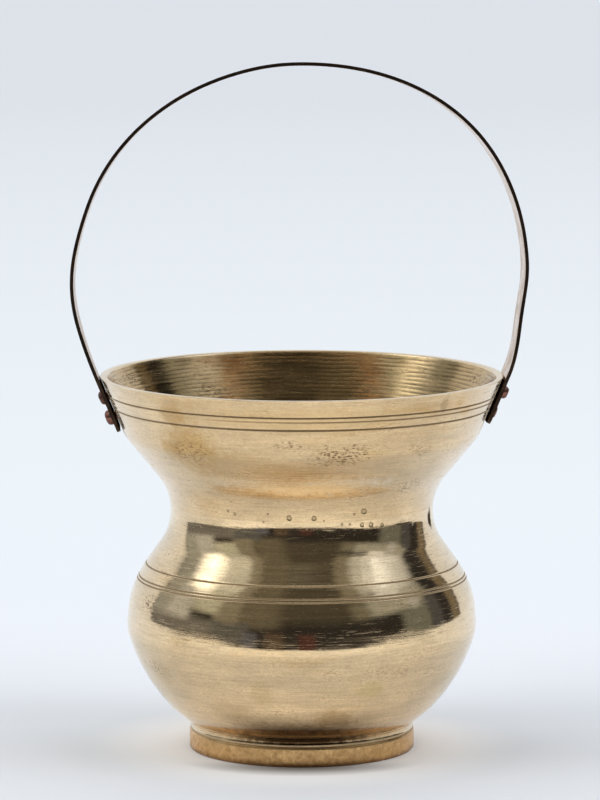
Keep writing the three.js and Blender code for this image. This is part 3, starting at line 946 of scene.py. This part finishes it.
# Stains on the mouth and the belly: bearing, radius, height, half width, half height, colour, strength. A
# few rows are painted light and painted shade instead, as said beside them.
MOUTH_STAINS_AND_LIGHT = (
    (-38, 50.5, 91.0, 11.0, 9.0, (0.56, 0.33, 0.09, 1.0), 0.6),
    (-46, 50.5, 90.0, 5.0, 4.0, (0.50, 0.28, 0.07, 1.0), 0.5),
    (-41, 55.0, 101.5, 5.0, 4.5, (0.50, 0.28, 0.08, 1.0), 0.5),
    # Painted light: a pale wash over the front of the mouth's cone, lightening the orange reflection there
    (3, 42.5, 81.8, 26.0, 3.4, (1.0, 0.86, 0.64, 1.0), 0.8),
    (0, 55.6, 102.0, 34.0, 4.2, (0.68, 0.46, 0.21, 1.0), 0.5),
    (-24, 49.5, 88.0, 16.0, 5.0, (0.56, 0.35, 0.14, 1.0), 0.4),
    (-5, 47.5, 85.5, 11.0, 4.0, (0.56, 0.34, 0.13, 1.0), 0.4),
    (45, 56.2, 104.2, 1.7, 3.6, (0.30, 0.20, 0.07, 1.0), 0.5),
    (52, 56.2, 104.0, 2.6, 3.0, (0.58, 0.34, 0.10, 1.0), 0.45),
    (56.6, 55.0, 101.5, 3.0, 1.7, (0.62, 0.33, 0.08, 1.0), 0.5),
    (150, 49.0, 90.0, 14.0, 6.0, (0.50, 0.30, 0.10, 1.0), 0.5),
    (-120, 46.0, 85.0, 10.0, 6.0, (0.55, 0.36, 0.13, 1.0), 0.4),
)
BELLY_STAINS_AND_SHADE = (
    (24.5, 46.0, 24.2, 5.0, 3.2, (0.60, 0.45, 0.16, 1.0), 0.38),
    (13, 40.0, 15.2, 6.5, 3.6, (0.46, 0.29, 0.11, 1.0), 0.6),
    (-14, 46.0, 22.5, 4.0, 6.0, (0.56, 0.36, 0.16, 1.0), 0.3),
    (-58, 46.5, 26.0, 6.0, 5.0, (0.56, 0.36, 0.13, 1.0), 0.4),
    (-30, 41.0, 16.5, 7.0, 4.0, (0.52, 0.36, 0.17, 1.0), 0.35),
    (60, 46.5, 24.0, 6.0, 5.0, (0.60, 0.42, 0.18, 1.0), 0.3),
    # Painted shade: these two rows low on the front of the neck darken it as the dark shadow in front of the
    # foot is mirrored there
    (0, 33.0, 9.6, 27.0, 5.4, (0.32, 0.19, 0.07, 1.0), 0.65),
    (1, 32.2, 8.4, 21.0, 3.4, (0.06, 0.03, 0.011, 1.0), 0.95),
    (-34, 32.0, 8.2, 9.0, 2.0, (0.16, 0.09, 0.04, 1.0), 0.25),
    (36, 32.0, 8.2, 9.0, 2.0, (0.14, 0.08, 0.035, 1.0), 0.25),
    (140, 32.0, 7.9, 30.0, 1.7, (0.14, 0.08, 0.035, 1.0), 0.6),
    (-120, 32.0, 7.9, 24.0, 1.6, (0.14, 0.08, 0.035, 1.0), 0.5),
    (140, 48.0, 30.0, 9.0, 6.0, (0.56, 0.36, 0.13, 1.0), 0.4),
    (-110, 46.5, 24.0, 8.0, 5.0, (0.60, 0.42, 0.16, 1.0), 0.4),
)
# Places where small dark dashes gather: bearing, radius, height, half width, half height, strength
MOUTH_SPECKS = (
    (13, 50.6, 91.4, 9.5, 3.2, 1.0), (-4, 51.8, 94.3, 5.0, 1.6, 0.7), (40, 50.9, 91.8, 5.5, 2.4, 0.5),
    (45, 42.2, 80.2, 7.0, 1.8, 0.6), (-38, 50.6, 91.0, 7.0, 4.5, 0.75), (160, 50.0, 90.0, 10.0, 4.0, 0.7),
)
INSIDE_SPECKS = (
    (158, 50.0, 97.0, 4.0, 1.2, 1.0), (128, 52.0, 103.0, 2.5, 1.5, 1.0), (-150, 50.0, 97.0, 6.0, 2.5, 0.8),
    (110, 53.0, 104.0, 6.0, 1.6, 0.9), (-112, 53.0, 104.0, 6.0, 1.8, 0.9),
)
BELLY_SPECKS = (
    (-62, 48.5, 45.5, 5.0, 2.6, 0.9), (-60, 47.4, 27.0, 6.0, 2.0, 0.6), (30, 48.5, 29.0, 10.0, 2.0, 0.4),
)


def start_material(name):
    material = bpy.data.materials.new(name)
    material.use_nodes = True
    tree = material.node_tree
    tree.nodes.clear()
    shader = tree.nodes.new("ShaderNodeBsdfPrincipled")
    end = tree.nodes.new("ShaderNodeOutputMaterial")
    tree.links.new(shader.outputs[0], end.inputs["Surface"])
    shader.inputs["Metallic"].default_value = 1.0
    place = tree.nodes.new("ShaderNodeTexCoord").outputs["Object"]
    return material, tree, shader, place


def finish_material(tree, shader, colour, roughness, height, depth, normal=None):
    bump = put(tree, "ShaderNodeBump", {"Strength": 1.0, "Distance": depth * MM, "Height": height})
    if normal is not None:
        tree.links.new(normal, bump.inputs["Normal"])
    tree.links.new(colour, shader.inputs["Base Color"])
    tree.links.new(roughness, shader.inputs["Roughness"])
    tree.links.new(bump.outputs[0], shader.inputs["Normal"])


def spot_share(tree, place, bearing, radius, height, half_width, half_height, ragged):
    """Share of a ragged oval place on the wall: its bearing in degrees, the rest in mm."""
    return place_group(
        tree, OVAL_PLACE, Position=place, Centre=on_wall(bearing, radius, height),
        Half_width=half_width * MM, Half_height=half_height * MM, Ragged=ragged)["Share"]


def distance_along(tree):
    """Distance along the turned wall, in metres."""
    return split(tree, put(tree, "ShaderNodeUVMap", uv_map="turned").outputs[0])[1]


def paint_over(tree, look, share, paint):
    look["colour"] = blend_colours(tree, share, look["colour"], paint)


def pierce(tree, place, look, pinholes):
    """Casting pinholes: darker, hollow and a little rougher."""
    for bearing, height, radius in pinholes:
        centre = on_wall(bearing, waist_radius(height), height)
        hole = place_group(tree, PINHOLE, Position=place, Centre=centre, Radius=radius * MM)
        paint_over(tree, look, times(tree, hole["Hole"], 0.35), HOLLOW)
        paint_over(tree, look, times(tree, hole["Rim"], 0.6), HOLE_RIM)
        look["height"] = minus(tree, look["height"], times(tree, hole["Hole"], 7.0))
        look["roughness"] = plus(tree, look["roughness"], times(tree, hole["Hole"], 0.2))


def slit_open(tree, place, look, slits):
    """Slits painted black as painted shade for the dark inside the open gap, in which no metal shines."""
    for where in slits:
        share = spot_share(tree, place, *where, 0.3)
        # Painted shade: the dark of the slit's open gap
        paint_over(tree, look, times(tree, share, 0.95), SLIT_SHADE_PAINT)
        look["covered"] = reckon(tree, "MAXIMUM", look["covered"], share)
        look["height"] = minus(tree, look["height"], times(tree, share, 12.0))


def dull_and_shade(tree, place, look, dull):
    """Places that no polishing cloth reaches: rougher, and some of them painted over with dark shade."""
    for *where, rougher, shade_strength in dull:
        share = spot_share(tree, place, *where, 0.1)
        look["roughness"] = plus(tree, look["roughness"], times(tree, share, rougher))
        if shade_strength:
            # Painted shade: on the left, the strip's dark shadow and reflection on the wall beside its end
            shade_share = times(tree, share, shade_strength)
            paint_over(tree, look, shade_share, DIRT_AND_PAINTED_SHADE)
            look["covered"] = reckon(tree, "MAXIMUM", look["covered"], shade_share)


def dark_dashes(tree, place, dashes, cloud, specks):
    """Small dark dashes along the turning, gathered in clouds and at the given places."""
    gathered = times(tree, ramp(tree, cloud, 0.52, 0.7), 0.4)
    for *where, strength in specks:
        share = spot_share(tree, place, *where, 0.6)
        gathered = reckon(tree, "MAXIMUM", gathered, times(tree, share, strength))
    return times(tree, ramp(tree, dashes, 0.51, 0.60), gathered)


def turned_brass(
    name, pale, warm, smooth, hazy, lines=1500.0, depth=0.012, tarnish=0.5, haze=0.28, rings=0.0,
    glancing_paint=GLANCING_PAINT, stains=(), specks=(), pinholes=(), slits=(), dull=(),
):
    """Lathe-turned brass: level tool lines, warm stains, dark dashes, dirt in the cut lines."""
    material, tree, shader, place = start_material(name)
    along = distance_along(tree)
    marks, dashes, scratches = (
        place_group(tree, TURNING, Position=place, Along=along, Lines_per_metre=count, Break_up=broken)
        for count, broken in ((lines, 2.2), (2400.0, 42.0), (3100.0, 7.0))
    )
    wander = place_group(tree, WANDERING, Position=place, Along=along, Amount=0.045)
    aged = place_group(tree, TARNISH, Position=place, Marks=marks["Bands"], Amount=tarnish)
    grime = put(tree, "ShaderNodeAttribute", attribute_name="grime").outputs["Fac"]

    colour = blend_colours(tree, aged["Stains"], pale, warm)
    for mark, low, high in (
        (marks["Bands"], 0.9, 1.05), (aged["Cloud"], 0.88, 1.06), (marks["Marks"], 0.86, 1.07),
        (dashes["Marks"], 1.07, 0.88), (scratches["Marks"], 1.07, 0.9),
        (noise_at(tree, place, 2400.0, 2.0, 0.7), 0.87, 1.08),
    ):
        colour = shade_by(tree, colour, ramp(tree, mark, 0.3, 0.7, low, high, smooth=False))
    # Some rows of these stains are painted light and painted shade, as said in their tables
    for *where, paint, strength in stains:
        share = times(tree, spot_share(tree, place, *where, 0.35), strength)
        colour = blend_colours(tree, share, colour, paint)
    # Painted sheen: towards the edges of what is seen, the colour is blended towards the glancing paint
    facing = put(tree, "ShaderNodeLayerWeight", {"Blend": 0.5}).outputs["Facing"]
    colour = blend_colours(tree, ramp(tree, facing, 0.25, 0.95, 0.0, 0.5), colour, glancing_paint)

    dark = dark_dashes(tree, place, dashes["Marks"], aged["Cloud"], specks)
    colour = blend_colours(tree, times(tree, dark, 0.85), colour, DASH)
    colour = blend_colours(tree, times(tree, grime, 0.85), colour, DIRT_AND_PAINTED_SHADE)
    roughness = ramp(tree, marks["Marks"], 0.38, 0.62, smooth, hazy, smooth=False)
    scratched = ramp(tree, scratches["Marks"], 0.56, 0.66)
    for mark, rougher in ((scratched, haze), (grime, 0.3), (dark, 0.25)):
        roughness = plus(tree, roughness, times(tree, mark, rougher))
    height = reckon(tree, "MULTIPLY_ADD", dashes["Marks"], 0.35, marks["Marks"])
    height = minus(tree, height, dark)
    if rings:
        ring = place_group(tree, RINGS, Position=place, Along=along)["Rings"]
        height = minus(tree, height, times(tree, ring, rings))
        colour = shade_by(tree, colour, ramp(tree, ring, 0.35, 0.95, 1.12, 0.62))

    look = {"colour": colour, "roughness": roughness, "height": height, "covered": grime}
    pierce(tree, place, look, pinholes)
    slit_open(tree, place, look, slits)
    dull_and_shade(tree, place, look, dull)
    metal = ramp(tree, look["covered"], 0.0, 0.85, 1.0, 0.0, smooth=False)
    tree.links.new(metal, shader.inputs["Metallic"])
    shader.inputs["Specular IOR Level"].default_value = 0.0
    finish_material(tree, shader, look["colour"], look["roughness"], look["height"], depth, wander["Normal"])
    return material


def cast_brass(name, pale, warm, rough):
    """Dull mottled brass, cast and lightly turned, darker towards the bottom where it meets the table."""
    material, tree, shader, place = start_material(name)
    marks = place_group(
        tree, TURNING, Position=place, Along=distance_along(tree), Lines_per_metre=1300.0, Break_up=14.0)
    aged = place_group(tree, TARNISH, Position=place, Marks=marks["Bands"], Amount=0.6)
    mottle = noise_at(tree, place, 650.0, 4.0, 0.75)
    colour = blend_colours(tree, ramp(tree, mottle, 0.42, 0.66), pale, warm)
    colour = shade_by(tree, colour, ramp(tree, marks["Marks"], 0.3, 0.7, 0.92, 1.06, smooth=False))
    colour = blend_colours(tree, times(tree, aged["Stains"], 0.35), colour, CAST_STAIN)
    uneven = reckon(tree, "MULTIPLY_ADD", mottle, -0.0016, split(tree, place)[2])
    low = ramp(tree, uneven, -0.0006, 0.0012, 1.0, 0.0)
    colour = blend_colours(tree, times(tree, low, 0.7), colour, CAST_FOOT)
    roughness = ramp(tree, mottle, 0.3, 0.75, rough - 0.08, rough + 0.12)
    grain = reckon(tree, "MULTIPLY_ADD", marks["Marks"], 0.8, mottle)
    finish_material(tree, shader, colour, roughness, grain, 0.02)
    return material


def rolled_brass(name, pale, warm, rough, depth, wear=0.0):
    """Rolled or sheared strip and hammered rivets: soft stains and rubbed edges."""
    material, tree, shader, place = start_material(name)
    cloud = noise_at(tree, place, 140.0, 4.0, 0.65)
    fine = noise_at(tree, place, 1500.0, 3.0, 0.65)
    colour = blend_colours(tree, ramp(tree, cloud, 0.38, 0.66), pale, warm)
    colour = shade_by(tree, colour, ramp(tree, fine, 0.3, 0.7, 0.85, 1.12, smooth=False))
    if wear:
        worn = place_group(tree, EDGE_WEAR, Reach=0.0004, Position=place)
        colour = blend_colours(tree, times(tree, worn["Wear"], wear), colour, RUBBED_COPPER)
    roughness = ramp(tree, cloud, 0.3, 0.7, rough - 0.08, rough + 0.1)
    height = reckon(tree, "MULTIPLY_ADD", cloud, 3.0, fine)
    finish_material(tree, shader, colour, roughness, height, depth)
    return material


def painted_seat_shade(name, pale, dark):
    """Painted shade: a dull dark non-metal standing for the shadow in the gap between the strip's seated
    ends and the wall.
    """
    material, tree, shader, place = start_material(name)
    shader.inputs["Metallic"].default_value = 0.0
    shader.inputs["Specular IOR Level"].default_value = 0.0
    speckle = noise_at(tree, place, 900.0, 4.0, 0.7)
    colour = blend_colours(tree, ramp(tree, speckle, 0.35, 0.65), pale, dark)
    finish_material(tree, shader, colour, ramp(tree, speckle, 0.3, 0.7, 0.75, 0.95), speckle, 0.05)
    return material


mouth_brass = turned_brass(
    "turned_brass_mouth", MOUTH_PALE, MOUTH_WARM, smooth=0.07, hazy=0.20, depth=0.018, tarnish=0.6,
    stains=MOUTH_STAINS_AND_LIGHT, specks=MOUTH_SPECKS, pinholes=PINHOLES, slits=SLITS, dull=MOUTH_DULL_AND_SHADE)
belly_brass = turned_brass(
    "turned_brass_belly", PALE, WARM, smooth=0.04, hazy=0.12, depth=0.008, tarnish=0.45, haze=0.24,
    stains=BELLY_STAINS_AND_SHADE, specks=BELLY_SPECKS, pinholes=PINHOLES, slits=SLITS)
lip_brass = turned_brass("worn_lip_brass", PALE, WARM, smooth=0.16, hazy=0.28, depth=0.01, tarnish=0.3)
inside_brass = turned_brass(
    "turned_brass_inside", INNER, INNER_WARM, smooth=0.08, hazy=0.22, lines=950.0, depth=0.018,
    tarnish=0.6, rings=0.75, glancing_paint=INNER_GLANCING_PAINT, specks=INSIDE_SPECKS)
under_brass = turned_brass(
    "turned_brass_underside", UNDER_PALE, UNDER_WARM, smooth=0.28, hazy=0.42, lines=700.0,
    depth=0.03, tarnish=0.8)
foot_brass = cast_brass("cast_brass_foot", CAST_PALE, CAST_WARM, rough=0.33)
strip_brass = rolled_brass("rolled_brass_strip", STRIP_PALE, STRIP_WARM, rough=0.3, depth=0.01)
edge_brass = rolled_brass("sheared_brass_edge", SHEARED_PALE, SHEARED_DARK, rough=0.45, depth=0.03)
seat_shade = painted_seat_shade("painted_seat_shade", SEAT_SHADE_PALE, SEAT_SHADE_DARK)
rivet_copper = rolled_brass(
    "hammered_copper", COPPER_RED, COPPER_DARK, rough=0.34, depth=0.04, wear=0.5)

make_mouth(mouth_brass, lip_brass, inside_brass)
make_belly(belly_brass, lip_brass, inside_brass, under_brass)
make_foot_ring(foot_brass)
make_handle_strip(strip_brass, edge_brass, seat_shade)
for number, (node, (turn, distance, radius, height)) in enumerate(RIVETS.items()):
    make_rivet(node, turn, distance, radius, height, rivet_copper, 3.7 * number + 1.3)


# Studio


# The papered table: half width, front and back edges, in metres
TABLE_SIDE = 0.62
TABLE_FRONT = -0.41
TABLE_BACK = 6.0
# Painted shade of the paper by distance behind the pot's middle in metres: darker round the pot for its soft
# shadow, and darker far behind as the light falls off
PAINTED_PAPER_SHADE = (
    (-0.41, (0.90, 0.91, 0.93)), (-0.16, (0.88, 0.89, 0.91)), (-0.08, (0.69, 0.70, 0.725)),
    (-0.01, (0.68, 0.69, 0.715)), (0.03, (0.76, 0.785, 0.82)), (0.12, (0.73, 0.745, 0.785)),
    (0.5, (0.72, 0.745, 0.77)), (1.1, (0.688, 0.711, 0.735)), (2.4, (0.616, 0.63, 0.66)),
)
# How far round the foot a painted glow stands for the light the brass throws on the paper, and how far in
# front of it a painted contact shadow darkens the paper
BRASS_GLOW_REACH = 0.034
CONTACT_SHADOW_REACH = 0.012
BRASS_GLOW_PAINT = (0.99, 0.97, 0.95, 1.0)
CONTACT_SHADOW_PAINT = (0.10, 0.07, 0.05, 1.0)


def make_floor():
    """A pale papered table, whose front and side edges are what the belly mirrors, with painted shade round
    the pot, a painted glow round the foot and a painted contact shadow in front of it.
    """
    corners = [
        (-TABLE_SIDE, TABLE_FRONT, 0), (TABLE_SIDE, TABLE_FRONT, 0),
        (TABLE_SIDE, TABLE_BACK, 0), (-TABLE_SIDE, TABLE_BACK, 0),
    ]
    mesh = bpy.data.meshes.new("table_top")
    mesh.from_pydata(corners, [], [(0, 1, 2, 3)])
    table = linked(bpy.data.objects.new("table_top", mesh))
    material, tree, shader, place = start_material("pale_paper")
    shader.inputs["Metallic"].default_value = 0.0
    shader.inputs["Specular IOR Level"].default_value = 0.0
    shader.inputs["Roughness"].default_value = 0.9
    # Painted shade: the paper's colour darkens round the pot and far behind it
    behind = split(tree, place)[1]
    near, far = PAINTED_PAPER_SHADE[0][0], PAINTED_PAPER_SHADE[-1][0]
    share = ramp(tree, behind, near, far, smooth=False)
    shades = put(tree, "ShaderNodeValToRGB", {0: share})
    stops = shades.color_ramp.elements
    while len(stops) < len(PAINTED_PAPER_SHADE):
        stops.new(0.5)
    for stop, (at, paint) in zip(stops, PAINTED_PAPER_SHADE):
        stop.position = (at - near) / (far - near)
        stop.color = (*paint, 1.0)
    away = vector_step(tree, "LENGTH", vector_step(tree, "MULTIPLY", place, (1.0, 1.0, 0.0)))
    foot = FOOT_RADIUS * MM
    # Painted light: a paler ring round the foot for the light the brass throws on the paper
    brass_glow = ramp(tree, away, foot, foot + BRASS_GLOW_REACH, 0.9, 0.0)
    colour = blend_colours(tree, brass_glow, shades.outputs[0], BRASS_GLOW_PAINT)
    # Painted shadow: dark paper just in front of the foot, for its contact shadow
    contact_shadow = ramp(tree, away, foot, foot + CONTACT_SHADOW_REACH, 0.92, 0.0, smooth=False)
    contact_shadow = times(tree, contact_shadow, ramp(tree, behind, -0.036, -0.021, 1.0, 0.0))
    colour = blend_colours(tree, contact_shadow, colour, CONTACT_SHADOW_PAINT)
    tree.links.new(colour, shader.inputs["Base Color"])
    mesh.materials.append(material)


def studio_patch_group():
    """A soft-edged patch of the room: 1 between two bearings and two elevations, in degrees."""
    inputs = dict.fromkeys(("Bearing", "Elevation", "From", "To", "Low", "High"), 0.0)
    group, into, out = start_group("studio_patch", {**inputs, "Soft": 2.0}, ["Patch"])
    total = 1.0
    for value, start, end in (("Bearing", "From", "To"), ("Elevation", "Low", "High")):
        for edge, outside, inside in ((start, 0.0, 1.0), (end, 1.0, 0.0)):
            before = minus(group, into[edge], into["Soft"])
            after = plus(group, into[edge], into["Soft"])
            total = times(group, total, ramp(group, into[value], before, after, outside, inside))
    group.links.new(total, out["Patch"])
    return group


# The backdrop as the camera sees it, and as it lights the pot
BACKDROP_SEEN = (0.74, 0.785, 0.835, 1.0)
BACKDROP_LIGHT = (0.80, 0.84, 0.89, 1.0)
# What the brass mirrors: bearings in degrees to the right of the camera's side, elevations, edge
# softness, and colour. Later rows lie over earlier ones.
ROOM = (
    ((-118, 130, -95, 95), 1.5, (0.033, 0.033, 0.036)),
    ((-118, 40, 18, 95), 8.0, (0.079, 0.076, 0.065)),
    ((-118, 130, 63, 95), 5.0, (0.360, 0.378, 0.360)),
    ((-44, -16, 10, 64), 8.0, (0.149, 0.144, 0.122)),
    ((-64, -36, -95, 16), 3.5, (0.117, 0.131, 0.149)),
    ((-118, -62, -95, 12), 3.5, (0.180, 0.189, 0.207)),
    ((-63, -44, 13, 66), 3.5, (0.252, 0.252, 0.225)),
    ((-118, -102, 6, 64), 4.0, (0.342, 0.378, 0.396)),
    ((-104, -83, 8, 40), 4.0, (0.504, 0.558, 0.630)),
    ((-84, -61, 20, 44), 4.0, (0.540, 0.594, 0.576)),
    ((-84, -56, 43, 64), 4.0, (0.648, 0.702, 0.738)),
    ((-104, -79, 36, 64), 4.0, (1.35, 1.48, 1.62)),
    ((-99, -86, 38, 50), 5.0, (2.34, 2.52, 2.70)),
    ((-40, -30, -14, 3), 2.0, (0.117, 0.135, 0.207)),
    ((-24, -12, -10, 4), 2.0, (0.099, 0.077, 0.063)),
    ((-2, 9, -8, 3), 2.0, (0.077, 0.032, 0.032)),
    ((36, 50, 19, 36), 5.0, (0.198, 0.203, 0.180)),
    ((49, 104, 20, 37), 4.0, (0.360, 0.396, 0.405)),
    ((83, 92, 16, 34), 2.5, (0.468, 0.522, 0.612)),
    ((36, 54, 43, 64), 5.0, (0.234, 0.234, 0.207)),
    ((52, 70, 43, 64), 5.0, (0.540, 0.594, 0.648)),
    ((64, 82, 34, 64), 3.0, (0.80, 0.88, 1.0)),
    ((66, 106, 37, 64), 4.0, (0.720, 0.810, 0.945)),
    ((74, 106, 45, 64), 4.0, (1.22, 1.40, 1.71)),
    ((72, 97, -95, 20), 4.0, (0.171, 0.194, 0.194)),
    ((97, 108, -95, 26), 3.0, (0.081, 0.090, 0.113)),
    ((119, 128, -95, 28), 2.5, (0.198, 0.171, 0.126)),
)


def make_world():
    world = bpy.data.worlds.new("studio")
    bpy.context.scene.world = world
    world.use_nodes = True
    tree = world.node_tree
    tree.nodes.clear()
    x, y, z = split(tree, tree.nodes.new("ShaderNodeTexCoord").outputs["Generated"])
    bearing = times(tree, reckon(tree, "ARCTAN2", x, times(tree, y, -1.0)), 180 / math.pi)
    elevation = times(tree, reckon(tree, "ARCSINE", z), 180 / math.pi)
    patch = studio_patch_group()
    colour = BACKDROP_LIGHT
    for sides, soft, paint in ROOM:
        start, end, low, high = map(float, sides)
        made = place_group(
            tree, patch, Bearing=bearing, Elevation=elevation,
            From=start, To=end, Low=low, High=high, Soft=soft)
        colour = blend_colours(tree, made["Patch"], colour, (*paint, 1.0))
    room = put(tree, "ShaderNodeBackground", {"Color": colour, "Strength": 1.0})
    pale = put(tree, "ShaderNodeBackground", {"Color": BACKDROP_SEEN, "Strength": 1.0})
    seen = tree.nodes.new("ShaderNodeLightPath").outputs["Is Camera Ray"]
    mix = put(tree, "ShaderNodeMixShader", {0: seen, 1: room.outputs[0], 2: pale.outputs[0]})
    end = tree.nodes.new("ShaderNodeOutputWorld")
    tree.links.new(mix.outputs[0], end.inputs["Surface"])


def make_sun(name, bearing, elevation, strength, spread):
    data = bpy.data.lights.new(name, "SUN")
    data.energy = strength
    data.angle = spread * DEGREE
    lamp = linked(bpy.data.objects.new(name, data))
    b, e = bearing * DEGREE, elevation * DEGREE
    towards = Vector((math.sin(b) * math.cos(e), -math.cos(b) * math.cos(e), math.sin(e)))
    lamp.rotation_euler = towards.to_track_quat("Z", "Y").to_euler()
    lamp.visible_glossy = False
    lamp.visible_camera = False


# The photo's camera: focal length in pixels of a picture 800 high, place in metres, tilt down
PICTURE_FOCAL = 5304
PICTURE_HEIGHT = 800
SENSOR_HEIGHT = 36.0
CAMERA_PLACE = (-0.51 * MM, -1.5, 0.3019)
CAMERA_TILT = 7.655 * DEGREE


def make_camera():
    data = bpy.data.cameras.new("photo_camera")
    data.sensor_fit = "VERTICAL"
    data.sensor_height = SENSOR_HEIGHT
    data.lens = PICTURE_FOCAL / PICTURE_HEIGHT * SENSOR_HEIGHT
    data.clip_start = 0.05
    data.clip_end = 50.0
    camera = linked(bpy.data.objects.new("photo_camera", data))
    camera.location = CAMERA_PLACE
    camera.rotation_euler = (math.pi / 2 - CAMERA_TILT, 0.0, 0.0)
    bpy.context.scene.camera = camera


make_floor()
make_world()
make_sun("left_softbox", -62, 42, 0.95, 40)
make_sun("right_softbox", 62, 44, 0.88, 40)
make_sun("room_light", 0, 80, 0.92, 100)
make_camera()

scene = bpy.context.scene
scene.view_settings.view_transform = "Standard"
scene.view_settings.look = "None"
